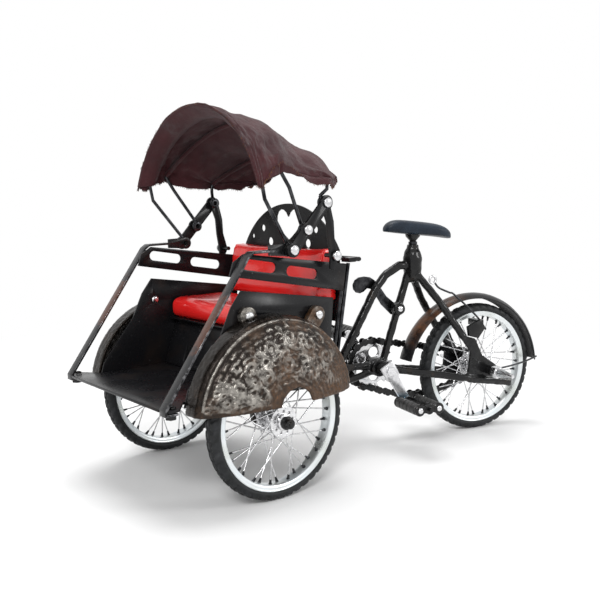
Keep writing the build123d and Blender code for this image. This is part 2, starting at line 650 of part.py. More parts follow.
FENDER_CREST = 49.0
with BuildPart() as rear_fender:
    with BuildSketch(Plane.XZ):
        with BuildLine():
            ThreePointArc((-6.6, FENDER_CREST - 2.8), (0, FENDER_CREST), (6.6, FENDER_CREST - 2.8))
            Line((6.6, FENDER_CREST - 2.8), (6.1, FENDER_CREST - 3.6))
            ThreePointArc((6.1, FENDER_CREST - 3.6), (0, FENDER_CREST - 0.9), (-6.1, FENDER_CREST - 3.6))
            Line((-6.1, FENDER_CREST - 3.6), (-6.6, FENDER_CREST - 2.8))
        make_face()
    revolve(axis=Axis.X, revolution_arc=163.0)
write(rear_fender, "rear_fender",
      REAR_PLACE * Location((0, WHEEL_BASE, AXLE_Z)) * Location((0, 0, 0), (-93.0, 0, 0)))

with BuildPart() as fender_stay:
    with BuildLine() as stay_path:
        Spline((STAY_X + 1.9, WHEEL_BASE + 2.9, AXLE_Z), (STAY_X + 1.7, WHEEL_BASE + 14.0, AXLE_Z + 0.6),
               (7.4, WHEEL_BASE + 45.6, AXLE_Z + 3.0))
    with BuildSketch(Plane(origin=stay_path.line @ 0, z_dir=stay_path.line % 0)):
        Circle(0.6)
    sweep()
write(fender_stay, "fender_stay", REAR_PLACE)


# ---------------------------------------------------------------- drive: ring, cranks, pedals, sprocket, chain
def pitch_radius(teeth):
    return CHAIN_PITCH / (2 * math.sin(math.pi / teeth))


def toothed_disc(teeth):
    """Toothed outline about the origin: a root disc with one tooth between each pair of rollers."""
    radius = pitch_radius(teeth)
    with BuildSketch(mode=Mode.PRIVATE) as disc:
        Circle(radius - 1.9)
        with PolarLocations(radius - 0.6, teeth):
            Rectangle(3.2, 1.9)
    return disc.sketch


RING_THICKNESS = 1.5
with BuildPart() as chainring:
    with BuildSketch(yz_plane(CHAIN_X - RING_THICKNESS / 2)):
        with Locations((CRANK_Y, CRANK_Z)):
            add(toothed_disc(RING_TEETH))
        for angle in range(0, 360, 72):
            reach = 8.0
            hole = (CRANK_Y + reach * math.cos(math.radians(angle)),
                    CRANK_Z + reach * math.sin(math.radians(angle)))
            with Locations(hole):
                Circle(3.4, mode=Mode.SUBTRACT)
        with Locations((CRANK_Y, CRANK_Z)):
            Circle(2.4, mode=Mode.SUBTRACT)
    extrude(amount=RING_THICKNESS)
write(chainring, "chainring", REAR_PLACE)

CRANK_X = 16.4             # middle of a crank bar
PEDAL_AXLE_RADIUS = 1.2
PEDAL_END = 46.0
with BuildPart() as crankset:
    add(tube([(-CRANK_X, CRANK_Y, CRANK_Z), (CRANK_X, CRANK_Y, CRANK_Z)], 2.4))
    for side in (1, -1):
        turn = math.radians(CRANK_ANGLE)
        tip = (CRANK_Y + side * CRANK_LENGTH * math.cos(turn), CRANK_Z + side * CRANK_LENGTH * math.sin(turn))
        middle = ((CRANK_Y + tip[0]) / 2, (CRANK_Z + tip[1]) / 2)
        with BuildSketch(yz_plane(side * (CRANK_X - 1.2))):
            with Locations(Location(middle, CRANK_ANGLE)):
                SlotCenterToCenter(CRANK_LENGTH, 6.0)
            with Locations(Location((CRANK_Y, CRANK_Z), CRANK_ANGLE)):
                Rectangle(8.6, 8.6)
        extrude(amount=side * 2.4)
        add(tube([(side * CRANK_X, *tip), (side * PEDAL_END, *tip)], PEDAL_AXLE_RADIUS))
write(crankset, "crankset", REAR_PLACE)

for side, side_name in ((1, "left"), (-1, "right")):
    turn = math.radians(CRANK_ANGLE)
    tip_y = CRANK_Y + side * CRANK_LENGTH * math.cos(turn)
    tip_z = CRANK_Z + side * CRANK_LENGTH * math.sin(turn)
    with BuildPart() as pedal:
        for start_x, end_x in ((19.0, 21.0), (42.0, 44.0)):
            with BuildSketch(yz_plane(side * start_x)):
                with Locations((tip_y, tip_z)):
                    SlotCenterToCenter(13.0, 6.0)
            extrude(amount=side * (end_x - start_x))
        for shift in (-6.5, 6.5):
            with BuildSketch(yz_plane(side * 21.0)):
                with Locations((tip_y + shift, tip_z)):
                    Circle(3.4)
            extrude(amount=side * 21.0)
        with BuildSketch(yz_plane(side * 19.0)):
            with Locations((tip_y, tip_z)):
                Circle(2.2)
        extrude(amount=side * 25.0)
        with BuildSketch(yz_plane(side * 18.0)):
            with Locations((tip_y, tip_z)):
                Circle(PEDAL_AXLE_RADIUS + RUNNING_GAP)
        extrude(amount=side * 28.0, mode=Mode.SUBTRACT)
    write(pedal, f"pedal_{side_name}", REAR_PLACE)

with BuildPart() as sprocket:
    with BuildSketch(yz_plane(CHAIN_X - RING_THICKNESS / 2)):
        with Locations((WHEEL_BASE, AXLE_Z)):
            add(toothed_disc(SPROCKET_TEETH))
    extrude(amount=RING_THICKNESS)
    with BuildSketch(yz_plane(-HUB_END)):
        with Locations((WHEEL_BASE, AXLE_Z)):
            Circle(4.2)
    extrude(amount=-(abs(CHAIN_X) + RING_THICKNESS / 2 - HUB_END))
    with BuildSketch(yz_plane(-HUB_END)):
        with Locations((WHEEL_BASE, AXLE_Z)):
            Circle(AXLE_RADIUS + RUNNING_GAP)
    extrude(amount=-4.0, mode=Mode.SUBTRACT)
write(sprocket, "sprocket", REAR_PLACE)


def chain_loop():
    """Pin centres, one pitch apart, round the ring, along the slack run, round the sprocket and back."""
    big, small = pitch_radius(RING_TEETH), pitch_radius(SPROCKET_TEETH)
    run = math.dist((CRANK_Y, CRANK_Z), (WHEEL_BASE, AXLE_Z))
    heading = math.atan2(AXLE_Z - CRANK_Z, WHEEL_BASE - CRANK_Y)
    cone = math.asin((big - small) / run)
    top, bottom = heading + math.pi / 2 - cone, heading - math.pi / 2 + cone

    def rim(centre, radius, angle):
        return (centre[0] + radius * math.cos(angle), centre[1] + radius * math.sin(angle))

    ring, cog = (CRANK_Y, CRANK_Z), (WHEEL_BASE, AXLE_Z)
    route = [rim(cog, small, top), rim(ring, big, top)]
    wrap = 2 * math.pi - (top - bottom)
    route += [rim(ring, big, top + wrap * step / 24) for step in range(1, 25)]
    slack_start, slack_end = route[-1], rim(cog, small, bottom)
    for step in range(1, 13):
        share = step / 12
        sag = SLACK_SAG * 4 * share * (1 - share)
        route.append((slack_start[0] + (slack_end[0] - slack_start[0]) * share,
                      slack_start[1] + (slack_end[1] - slack_start[1]) * share - sag))
    route += [rim(cog, small, bottom + (top - bottom) * step / 12) for step in range(1, 13)]
    lengths = [math.dist(a, b) for a, b in zip(route, route[1:])]
    pins, travelled = [], 0.0
    step_length = sum(lengths) / CHAIN_LINKS
    for (a, b), length in zip(zip(route, route[1:]), lengths):
        while len(pins) * step_length < travelled + length and len(pins) < CHAIN_LINKS:
            share = (len(pins) * step_length - travelled) / length
            pins.append((a[0] + (b[0] - a[0]) * share, a[1] + (b[1] - a[1]) * share))
        travelled += length
    return pins


SLACK_SAG = 8.0
ROLLER_RADIUS = 1.6
PLATE = 0.8
pins = chain_loop()
with BuildPart() as chain:
    for plate_x in (CHAIN_X - 2.2, CHAIN_X + 2.2 - PLATE):
        with BuildSketch(yz_plane(plate_x)):
            for pin, following in zip(pins, pins[1:] + pins[:1]):
                middle = ((pin[0] + following[0]) / 2, (pin[1] + following[1]) / 2)
                turn = math.degrees(math.atan2(following[1] - pin[1], following[0] - pin[0]))
                with Locations(Location(middle, turn)):
                    Rectangle(math.dist(pin, following) + 0.4, 2.6)
                with Locations(pin):
                    Circle(2.3)
        extrude(amount=PLATE)
    for pin in pins:
        ring_clear = math.dist(pin, (CRANK_Y, CRANK_Z)) > pitch_radius(RING_TEETH) + 3.4
        cog_clear = math.dist(pin, (WHEEL_BASE, AXLE_Z)) > pitch_radius(SPROCKET_TEETH) + 3.4
        if ring_clear and cog_clear:
            with BuildSketch(yz_plane(CHAIN_X - 2.2 + PLATE)):
                with Locations(pin):
                    Circle(ROLLER_RADIUS)
            extrude(amount=4.4 - 2 * PLATE)
write(chain, "chain", REAR_PLACE)
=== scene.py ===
"""Looks of the iron miniature cycle rickshaw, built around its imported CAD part. Lengths below are in mm."""

import random
from math import acos, asin, atan2, copysign, cos, dist, hypot, pi, radians, sin, sqrt

import bmesh
import bpy
import numpy as np
from mathutils import Matrix, Vector, noise


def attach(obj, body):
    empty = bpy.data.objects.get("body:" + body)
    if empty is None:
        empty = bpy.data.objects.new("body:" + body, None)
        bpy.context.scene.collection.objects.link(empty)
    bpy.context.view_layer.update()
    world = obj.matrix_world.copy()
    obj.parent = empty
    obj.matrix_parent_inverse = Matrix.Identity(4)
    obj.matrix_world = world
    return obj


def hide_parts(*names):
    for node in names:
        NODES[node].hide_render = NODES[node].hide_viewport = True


MM = 0.001
WELD = 2e-6                # m; points closer than this are one point
SIDES = ((1, "left"), (-1, "right"))
HERE = Matrix.Identity(4)
SCENE = bpy.context.scene
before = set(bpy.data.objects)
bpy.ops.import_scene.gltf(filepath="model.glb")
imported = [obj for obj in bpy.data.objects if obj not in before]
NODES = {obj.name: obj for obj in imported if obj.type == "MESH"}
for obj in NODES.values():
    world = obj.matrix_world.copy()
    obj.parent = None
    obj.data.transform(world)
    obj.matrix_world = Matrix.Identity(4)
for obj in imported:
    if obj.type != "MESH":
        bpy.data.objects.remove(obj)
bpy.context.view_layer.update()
random.seed(7)

# ---------------------------------------------------------------- named sizes of the part
AXLE_Z = 42.0
HALF_TRACK = 57.0
KINGPIN_Y = 17.0
WHEEL_BASE = 166.0
STEER_AT_REST = radians(-14.3)
CRANK = (91.0, 49.2)
CRANK_ANGLE = radians(-60.0)
CRANK_LENGTH = 22.0
REAR = Matrix.Translation((0, KINGPIN_Y * MM, 0)) @ Matrix.Rotation(STEER_AT_REST, 4, "Z")
WHEELS = {
    "front_left": ("wheel_left", Matrix.Translation((HALF_TRACK * MM, 0, AXLE_Z * MM))),
    "front_right": ("wheel_right", Matrix.Translation((-HALF_TRACK * MM, 0, AXLE_Z * MM))),
    "rear": ("wheel_rear", REAR @ Matrix.Translation((0, WHEEL_BASE * MM, AXLE_Z * MM))),
}


# ---------------------------------------------------------------- materials
class Nodes:
    """A small builder of shader nodes."""

    def __init__(self, tree):
        self.tree = tree

    def fill(self, socket, value):
        if isinstance(value, bpy.types.NodeSocket):
            self.tree.links.new(value, socket)
        elif isinstance(value, tuple) and len(value) == 3 and socket.type == "RGBA":
            socket.default_value = (*value, 1)
        else:
            socket.default_value = value

    def node(self, kind, settings=(), **inputs):
        """Inputs go by name, or by number as i0, i1 and so on."""
        made = self.tree.nodes.new(kind)
        for key, value in dict(settings).items():
            setattr(made, key, value)
        for key, value in inputs.items():
            self.fill(made.inputs[int(key[1:]) if key[1:].isdigit() else key], value)
        return made

    def math(self, operation, a, b):
        return self.node("ShaderNodeMath", {"operation": operation}, i0=a, i1=b).outputs[0]

    def plus(self, a, b):
        return self.math("ADD", a, b)

    def times(self, a, b):
        return self.math("MULTIPLY", a, b)

    def level(self, fac, low, high, dark=0.0, light=1.0):
        """fac stretched from low..high to dark..light."""
        return self.node("ShaderNodeMapRange", i0=fac, i1=low, i2=high, i3=dark, i4=light).outputs[0]

    def seen(self):
        """1 for a ray that shows the surface in the picture, 0 for one that carries light."""
        path = self.node("ShaderNodeLightPath").outputs
        seen = self.math("MAXIMUM", path["Is Camera Ray"], path["Is Glossy Ray"])
        return self.math("MAXIMUM", seen, path["Is Transmission Ray"])


class Shader(Nodes):
    """A small builder for one procedural material."""

    def __init__(self, name):
        self.mat = bpy.data.materials.new(name)
        self.mat.use_nodes = True
        super().__init__(self.mat.node_tree)
        self.bsdf = self.tree.nodes["Principled BSDF"]
        self.coords = self.tree.nodes.new("ShaderNodeTexCoord").outputs["Object"]

    def axes(self):
        return self.node("ShaderNodeSeparateXYZ", i0=self.coords).outputs

    def noise(self, scale, detail=4.0, rough=0.55, stretch=(1, 1, 1)):
        place = self.node("ShaderNodeMapping", i0=self.coords, i3=stretch).outputs[0]
        return self.node("ShaderNodeTexNoise", Vector=place, Scale=scale, Detail=detail,
                         Roughness=rough).outputs["Fac"]

    def ramp(self, fac, stops):
        made = self.node("ShaderNodeValToRGB", Fac=fac)
        elements = made.color_ramp.elements
        while len(elements) < len(stops):
            elements.new(0.5)
        for element, (place, colour) in zip(elements, stops):
            element.position = place
            element.color = (*colour, 1)
        return made.outputs["Color"]

    def mix(self, fac, a, b):
        return self.node("ShaderNodeMix", {"data_type": "RGBA"}, i0=fac, i6=a, i7=b).outputs[2]

    def rough(self, fac, low, high):
        """A roughness that follows a noise."""
        return self.level(fac, 0.3, 0.7, low, high)

    def bump(self, height, depth_mm, strength=1.0):
        made = self.node("ShaderNodeBump", Height=height, Distance=depth_mm * MM, Strength=strength)
        self.fill(self.bsdf.inputs["Normal"], made.outputs["Normal"])

    def set(self, colour, roughness, specular=0.5, **values):
        values.update(Base_Color=colour, Roughness=roughness, Specular_IOR_Level=specular)
        for key, value in values.items():
            self.fill(self.bsdf.inputs[key.replace("_", " ")], value)
        return self.mat


def black_sheet():
    s = Shader("black_sheet")
    patch = s.noise(45, 5, 0.6)
    dust = s.level(s.noise(900, 2, 0.4), 0.73, 0.78)
    brown = s.level(patch, 0.54, 0.72, 0.0, 0.6)
    base = s.mix(brown, (0.007, 0.007, 0.008), (0.020, 0.013, 0.010))
    base = s.mix(dust, base, (0.09, 0.09, 0.09))
    s.bump(s.noise(260, 3, 0.5), 0.03, 0.4)
    return s.set(base, s.rough(patch, 0.20, 0.36), 0.2)


def strap_paint():
    """Black paint worn through to brown metal part-way along the straps."""
    s = Shader("strap_paint")
    height = s.axes()[2]
    spread = s.plus(height, s.level(s.noise(260, 4, 0.6), 0.2, 0.8, -0.006, 0.006))
    lower, upper = s.level(spread, 0.083, 0.088), s.level(spread, 0.106, 0.111, 1.0, 0.0)
    worn = s.times(lower, upper)
    brown = s.mix(s.noise(420, 5, 0.7), (0.022, 0.008, 0.005), (0.115, 0.040, 0.020))
    speck = s.level(s.noise(1100, 2, 0.5), 0.70, 0.75)
    base = s.mix(speck, s.mix(worn, (0.008, 0.008, 0.009), brown), (0.14, 0.13, 0.12))
    s.bump(s.noise(420, 3, 0.5), 0.03, 0.4)
    return s.set(base, s.rough(s.noise(160), 0.20, 0.36), 0.4)


def painted_glint_edge():
    # Painted highlight: a lighter metal colour on the straps' cut edges stands in for their glint.
    s = Shader("painted_glint_edge")
    base = s.ramp(s.noise(300, 4, 0.6), [(0.40, (0.012, 0.012, 0.013)), (0.72, (0.22, 0.22, 0.23))])
    return s.set(base, s.rough(s.noise(500), 0.2, 0.4), Metallic=0.8)


def lumpy_iron():
    s = Shader("lumpy_iron")
    big = s.noise(120, 5, 0.62)
    fine = s.noise(620, 4, 0.6)
    base = s.ramp(big, [(0.30, (0.004, 0.004, 0.005)), (0.60, (0.009, 0.009, 0.009)),
                        (0.80, (0.034, 0.023, 0.016))])
    s.bump(s.plus(s.times(big, 1.2), s.times(fine, 0.3)), 0.35, 0.6)
    return s.set(base, s.rough(fine, 0.12, 0.28), 0.3)


def cast_relief():
    """Gun-metal casting, its raised parts painted silvery as a highlight, rusted brown towards the back and
    the foot.
    """
    s = Shader("cast_relief")
    axes = s.axes()
    along = s.level(axes[1], -0.030, 0.040)
    low = s.level(axes[2], 0.070, 0.052)
    patch = s.noise(80, 5, 0.65)
    rust = s.plus(s.times(along, 0.55), s.times(low, 0.25))
    rust = s.plus(rust, s.level(patch, 0.25, 0.75, -0.42, 0.58))
    rust = s.level(rust, 0.25, 0.75)
    fine = s.noise(520, 4, 0.65)
    brown = s.ramp(fine, [(0.3, (0.020, 0.010, 0.005)), (0.62, (0.085, 0.042, 0.018)),
                          (0.80, (0.210, 0.070, 0.018))])
    # Painted highlight: the higher a point stands, the lighter and more silvery its colour.
    lift_highlight = s.node("ShaderNodeAttribute", {"attribute_name": "lift"}).outputs["Fac"]
    iron = s.ramp(lift_highlight, [(0.05, (0.012, 0.009, 0.007)), (0.45, (0.050, 0.040, 0.031)),
                           (0.95, (0.34, 0.32, 0.29))])
    spotted = s.mix(s.level(s.noise(240, 5, 0.6), 0.36, 0.62), (0.018, 0.013, 0.010), iron)
    s.bump(s.plus(s.noise(300, 5, 0.65), s.times(fine, 0.5)), 0.35, 0.8)
    return s.set(s.mix(rust, spotted, brown), s.level(rust, 0, 1, 0.26, 0.42), 0.6,
                 Metallic=s.level(rust, 0, 1, 0.75, 0.4))


def rusted_black():
    """The rear fender: black, browned by rust over its front half."""
    s = Shader("rusted_black")
    axes = s.axes()
    front = s.times(s.level(axes[1], 0.172, 0.150), s.level(axes[2], 0.058, 0.070))
    patch = s.level(s.noise(110, 5, 0.6), 0.35, 0.65)
    brown = s.mix(s.noise(500), (0.020, 0.009, 0.005), (0.17, 0.062, 0.02))
    base = s.mix(s.times(front, patch), (0.010, 0.010, 0.011), brown)
    s.bump(s.noise(420, 4, 0.6), 0.08, 0.5)
    return s.set(base, s.level(patch, 0, 1, 0.2, 0.4), 0.25)


def toned(name, tone, stops, grain, roughness, **values):
    """One noise gives the colour and the roughness, another the fine bump."""
    s = Shader(name)
    fac = s.noise(*tone)
    if grain:
        s.bump(s.noise(*grain[0]), *grain[1:])
    if isinstance(roughness, tuple):
        roughness = s.rough(fac, *roughness)
    return s.set(s.ramp(fac, stops), roughness, **values)


def vinyl():
    s = Shader("red_vinyl")
    tone = s.noise(28, 3, 0.5)
    base = s.mix(s.level(tone, 0.3, 0.7), (0.72, 0.010, 0.010), (0.86, 0.022, 0.018))
    s.bump(s.noise(150, 2, 0.5), 0.10, 0.35)
    return s.set(base, s.rough(tone, 0.20, 0.28), Coat_Weight=0.35,
                 Coat_Roughness=0.08)


def saddle_leather():
    s = Shader("saddle_vinyl")
    tone = s.noise(90, 4, 0.6)
    base = s.mix(s.level(tone, 0.35, 0.65), (0.006, 0.010, 0.017), (0.014, 0.024, 0.038))
    grain = s.node("ShaderNodeTexVoronoi", Vector=s.coords, Scale=1300.0).outputs["Distance"]
    s.bump(grain, 0.06, 0.5)
    return s.set(base, s.rough(tone, 0.36, 0.5), 0.25)


def cloth():
    """Maroon plain weave, greyed in patches where it is rubbed."""
    s = Shader("maroon_cloth")
    axes = s.axes()
    warp = s.math("SINE", s.times(axes[1], 9500.0), 0.0)
    across = s.plus(s.times(axes[0], 6500.0), s.times(axes[2], 6500.0))
    weft = s.math("SINE", across, 0.0)
    weave = s.times(warp, weft)
    tone = s.noise(40, 5, 0.6)
    base = s.mix(s.level(tone, 0.3, 0.7), (0.020, 0.005, 0.007), (0.052, 0.010, 0.013))
    thread = s.level(weave, -0.6, 0.9, 0.0, 0.35)
    base = s.mix(thread, base, (0.075, 0.026, 0.028))
    rubbed = s.level(s.noise(75, 5, 0.7), 0.56, 0.70, 0.0, 0.5)
    base = s.mix(rubbed, base, (0.060, 0.052, 0.052))
    s.bump(s.plus(weave, s.times(s.noise(420, 4, 0.6), 3.0)), 0.10, 0.7)
    return s.set(base, 0.88, 0.25, Sheen_Weight=0.12, Sheen_Roughness=0.5)


def crank_steel():
    """Bright steel, tinted pale blue at the low end of the left bar."""
    s = Shader("crank_steel")
    height = s.axes()[2]
    steel = s.ramp(s.noise(380, 4, 0.6), [(0.3, (0.52, 0.52, 0.53)), (0.6, (0.74, 0.74, 0.75))])
    base = s.mix(s.level(height, 0.036, 0.031), steel, (0.22, 0.42, 0.58))
    s.bump(s.noise(700, 3, 0.5), 0.01, 0.2)
    return s.set(base, 0.28, Metallic=0.9)


def pale_floor():
    """A pale floor that keeps the shadow near the object and runs into the white backdrop further out."""
    s = Shader("pale_floor")
    base = s.mix(s.noise(3, 2, 0.5), (0.90, 0.90, 0.90), (0.92, 0.92, 0.92))
    s.set(base, 0.8, 0.2)
    reach = s.node("ShaderNodeVectorMath", {"operation": "LENGTH"}, i0=s.coords).outputs["Value"]
    fade = s.times(s.seen(), s.level(reach, 0.22, 0.55))
    glow = s.node("ShaderNodeEmission", Color=(1, 1, 1, 1), Strength=1.0).outputs[0]
    mixed = s.node("ShaderNodeMixShader", i0=fade, i1=s.bsdf.outputs[0], i2=glow).outputs[0]
    s.tree.links.new(mixed, s.tree.nodes["Material Output"].inputs["Surface"])
    return s.mat


BLACK, STRAP, GLINT_EDGE, IRON, RELIEF = black_sheet(), strap_paint(), painted_glint_edge(), lumpy_iron(), cast_relief()
RUSTED, CRANK_STEEL = rusted_black(), crank_steel()
VINYL, SADDLE, CLOTH = vinyl(), saddle_leather(), cloth()
STEEL = toned("bright_steel", (380, 4, 0.6, (1, 1, 4)),
              [(0.3, (0.52, 0.52, 0.53)), (0.6, (0.72, 0.72, 0.73))],
              ((700, 3, 0.5), 0.01, 0.2), (0.16, 0.30), Metallic=1.0)
BLUED = toned("blued_steel", (200, 4, 0.6), [(0.35, (0.012, 0.012, 0.014)), (0.70, (0.075, 0.077, 0.082))],
              ((600, 3, 0.5), 0.03, 0.5), 0.3, Metallic=0.95)
ALLOY = toned("rim_alloy", (60, 3, 0.5),
              [(0.32, (0.60, 0.63, 0.61)), (0.5, (0.72, 0.75, 0.76)), (0.7, (0.66, 0.72, 0.75))],
              ((500, 3, 0.5), 0.02, 0.4), (0.26, 0.40), Metallic=0.75)
RUBBER = toned("tyre_rubber", (170, 5, 0.6),
               [(0.35, (0.007, 0.008, 0.008)), (0.62, (0.018, 0.019, 0.021)), (0.82, (0.048, 0.050, 0.052))],
               ((1100, 3, 0.6), 0.06, 0.6), (0.42, 0.62), specular=0.25)
PEDAL = toned("pedal_rubber", (240, 4, 0.6), [(0.35, (0.010, 0.010, 0.010)), (0.68, (0.035, 0.034, 0.034))],
              ((900, 3, 0.6), 0.06, 0.6), (0.3, 0.5))
THREAD = toned("hem_thread", (260, 4, 0.6), [(0.42, (0.040, 0.012, 0.012)), (0.60, (0.16, 0.065, 0.025))],
               None, 0.85, specular=0.25)


# ---------------------------------------------------------------- mesh helpers, all in mm
def finish_piece(obj, body, stands_for=()):
    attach(obj, body)
    if stands_for:
        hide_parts(*stands_for)
    return obj


def mesh_piece(name, verts, faces, mat, smooth_angle=40.0, place=HERE):
    """A mesh object from points in mm."""
    data = bpy.data.meshes.new(name)
    data.from_pydata([tuple(c * MM for c in v) for v in verts], [], faces)
    data.materials.append(mat)
    obj = new_object(name, data)
    obj.matrix_world = place
    shade(obj, smooth_angle)
    return obj


def shade(obj, angle):
    bm = bmesh.new()
    bm.from_mesh(obj.data)
    bmesh.ops.recalc_face_normals(bm, faces=bm.faces)
    bm.to_mesh(obj.data)
    bm.free()
    obj.data.shade_smooth()
    obj.data.set_sharp_from_angle(angle=radians(angle))


def paint(data, mat):
    data.materials.clear()
    data.materials.append(mat)


def new_object(name, data):
    obj = bpy.data.objects.new(name, data)
    SCENE.collection.objects.link(obj)
    return obj


def evaluated_mesh(obj):
    return bpy.data.meshes.new_from_object(obj.evaluated_get(bpy.context.evaluated_depsgraph_get()))


def apply_modifiers(obj):
    made = evaluated_mesh(obj)
    obj.modifiers.clear()
    obj.data = made


def modify(obj, kind, **settings):
    """Adds a modifier; it stays live until apply_modifiers."""
    made = obj.modifiers.new(kind.lower(), kind)
    for key, value in settings.items():
        setattr(made, key, value)
    return made


def bevel(obj, width, angle):
    modify(obj, "BEVEL", width=width * MM, segments=2, limit_method="ANGLE", angle_limit=radians(angle))
    apply_modifiers(obj)


def quads(rows, width, rows_round=False, width_round=True):
    """Faces between rows of points; the rows, and each row's points, can run round."""
    starts = [(k * width, (k + 1) % rows * width) for k in range(rows if rows_round else rows - 1)]
    steps = [(j, (j + 1) % width) for j in range(width if width_round else width - 1)]
    return [(a + i, a + j, b + j, b + i) for a, b in starts for i, j in steps]


def capped(rows, width):
    """Faces of a tube of rings, closed at its two ends."""
    ends = [tuple(reversed(range(width))), tuple(range((rows - 1) * width, rows * width))]
    return quads(rows, width) + ends


def merged(name, datas, mat, weld=False):
    """One mesh from several."""
    bm = bmesh.new()
    for data in datas:
        bm.from_mesh(data)
    if weld:
        bmesh.ops.remove_doubles(bm, verts=bm.verts, dist=WELD)
    made = bpy.data.meshes.new(name)
    bm.to_mesh(made)
    bm.free()
    paint(made, mat)
    return made


def join_meshes(name, datas, mat, angle=40.0, place=HERE):
    obj = new_object(name, merged(name, datas, mat))
    shade(obj, angle)
    obj.matrix_world = place
    return obj


def filled_outline(name, rings, thick, edge, offset=0.0):
    """A mesh from closed outlines in a plane; the inner ones are holes."""
    curve = bpy.data.curves.new(name, "CURVE")
    curve.dimensions, curve.fill_mode, curve.bevel_resolution = "2D", "BOTH", 1
    curve.extrude, curve.bevel_depth, curve.offset = thick * MM, edge * MM, offset * MM
    for ring in rings:
        spline = curve.splines.new("POLY")
        spline.points.add(len(ring) - 1)
        for point, (x, y) in zip(spline.points, ring):
            point.co = (x * MM, y * MM, 0, 1)
        spline.use_cyclic_u = True
    obj = new_object(name, curve)
    data = evaluated_mesh(obj)
    bpy.data.objects.remove(obj)
    return data


def polar(centre, radius, angle):
    return centre[0] + radius * cos(angle), centre[1] + radius * sin(angle)


def arc(centre, radius, start, end, count):
    return [polar(centre, radius, start + (end - start) * k / count) for k in range(count + 1)]


def circle(centre, radius, sides):
    return arc(centre, radius, 0, 2 * pi, sides)[:-1]


def round_about(axis, sides, turn=0.0):
    """Unit vectors square to an axis, evenly round it."""
    side = axis.orthogonal().normalized()
    other = axis.cross(side)
    return [side * cos(t) + other * sin(t) for t in (turn + 2 * pi * k / sides for k in range(sides))]


class Soup:
    """Collects simple solids into one mesh."""

    def __init__(self):
        self.verts, self.faces = [], []

    def add(self, verts, faces):
        base = len(self.verts)
        self.verts += [tuple(v) for v in verts]
        self.faces += [tuple(i + base for i in f) for f in faces]
        return self

    def rod(self, start, end, radius, sides=8, end_radius=None):
        way = Vector(end) - Vector(start)
        return self.lathe([(0, radius), (way.length, end_radius or radius)], start, way, sides)

    def lathe(self, profile, origin, axis, sides=24, closed=False, turn=0.0):
        """Turns (along, radius) pairs about an axis; closed joins the last pair to the first."""
        origin, axis, count = Vector(origin), Vector(axis).normalized(), len(profile)
        verts = [origin + axis * a + d * r for d in round_about(axis, sides, turn) for a, r in profile]
        faces = quads(sides, count, True, closed)
        if not closed:
            faces.append(tuple(k * count for k in reversed(range(sides))))
            faces.append(tuple(k * count + count - 1 for k in range(sides)))
        return self.add(verts, faces)

    def washer(self, centre, axis, bore, radius, thick, sides=28):
        profile = [(0, bore), (0, radius), (thick, radius), (thick, bore)]
        return self.lathe(profile, centre, axis, sides, closed=True)

    def tube(self, points, radius, sides=8, smooth=6):
        """A bent round wire through the points, rounded by a Catmull-Rom curve where smooth > 1."""
        path = rounded_path(points, smooth)
        rings, normal = [], None
        for k, point in enumerate(path):
            way = (path[min(k + 1, len(path) - 1)] - path[max(k - 1, 0)]).normalized()
            normal = way.orthogonal() if normal is None else normal - way * normal.dot(way)
            normal = normal.normalized()
            other = way.cross(normal)
            rings.append([point + (normal * cos(t) + other * sin(t)) * radius
                          for t in (2 * pi * j / sides for j in range(sides))])
        return self.add([v for ring in rings for v in ring], capped(len(rings), sides))

    def ball(self, centre, radius, squash=1.0, axis=(0, 0, 1), sides=12, rows=7):
        profile = [(-radius * squash * cos(pi * k / rows), radius * sin(pi * k / rows) + 1e-4)
                   for k in range(rows + 1)]
        return self.lathe(profile, centre, axis, sides)

    def box(self, low, high):
        (x0, y0, z0), (x1, y1, z1) = low, high
        verts = [(x, y, z) for x in (x0, x1) for y in (y0, y1) for z in (z0, z1)]
        faces = [(0, 1, 3, 2), (4, 6, 7, 5), (0, 4, 5, 1), (2, 3, 7, 6), (0, 2, 6, 4), (1, 5, 7, 3)]
        return self.add(verts, faces)

    def hexagon(self, centre, axis, across, thick, turn=0.0):
        """A nut, its outer edge cut back a little."""
        radius = across / sqrt(3)
        profile = [(0, radius), (thick - 0.25, radius), (thick, radius - 0.3)]
        return self.lathe(profile, centre, axis, 6, turn=turn)

    def dome(self, base, axis, radius, height, sides=18, rim=0.5):
        """A round bolt head: a short rim, then a dome."""
        profile = [(0, radius * 0.98), (0, radius), (rim, radius)]
        profile += [(rim + (height - rim) * sin(t), radius * cos(t) + 1e-3)
                    for t in (pi / 2 * k / 6 for k in range(1, 7))]
        return self.lathe(profile, base, axis, sides)

    def piece(self, name, mat, angle=40.0, place=HERE):
        return mesh_piece(name, self.verts, self.faces, mat, angle, place)

    def finish(self, name, mat, angle, body, stands_for=(), place=HERE):
        finish_piece(self.piece(name, mat, angle, place), body, stands_for)


def rounded_path(points, steps):
    points = [Vector(p) for p in points]
    if steps <= 1 or len(points) < 3:
        return points
    path = []
    padded = [points[0] * 2 - points[1]] + points + [points[-1] * 2 - points[-2]]
    for a, b, c, d in zip(padded, padded[1:], padded[2:], padded[3:]):
        for k in range(steps):
            t = k / steps
            path.append(0.5 * (2 * b + (c - a) * t + (2 * a - 5 * b + 4 * c - d) * t ** 2
                               + (3 * b - a - 3 * c + d) * t ** 3))
    return path + [points[-1]]


def loose_mesh(soup, mat, place=HERE):
    """A soup's mesh without an object, moved to its place."""
    obj = soup.piece("loose", mat)
    data = obj.data
    bpy.data.objects.remove(obj)
    data.transform(place)
    return data


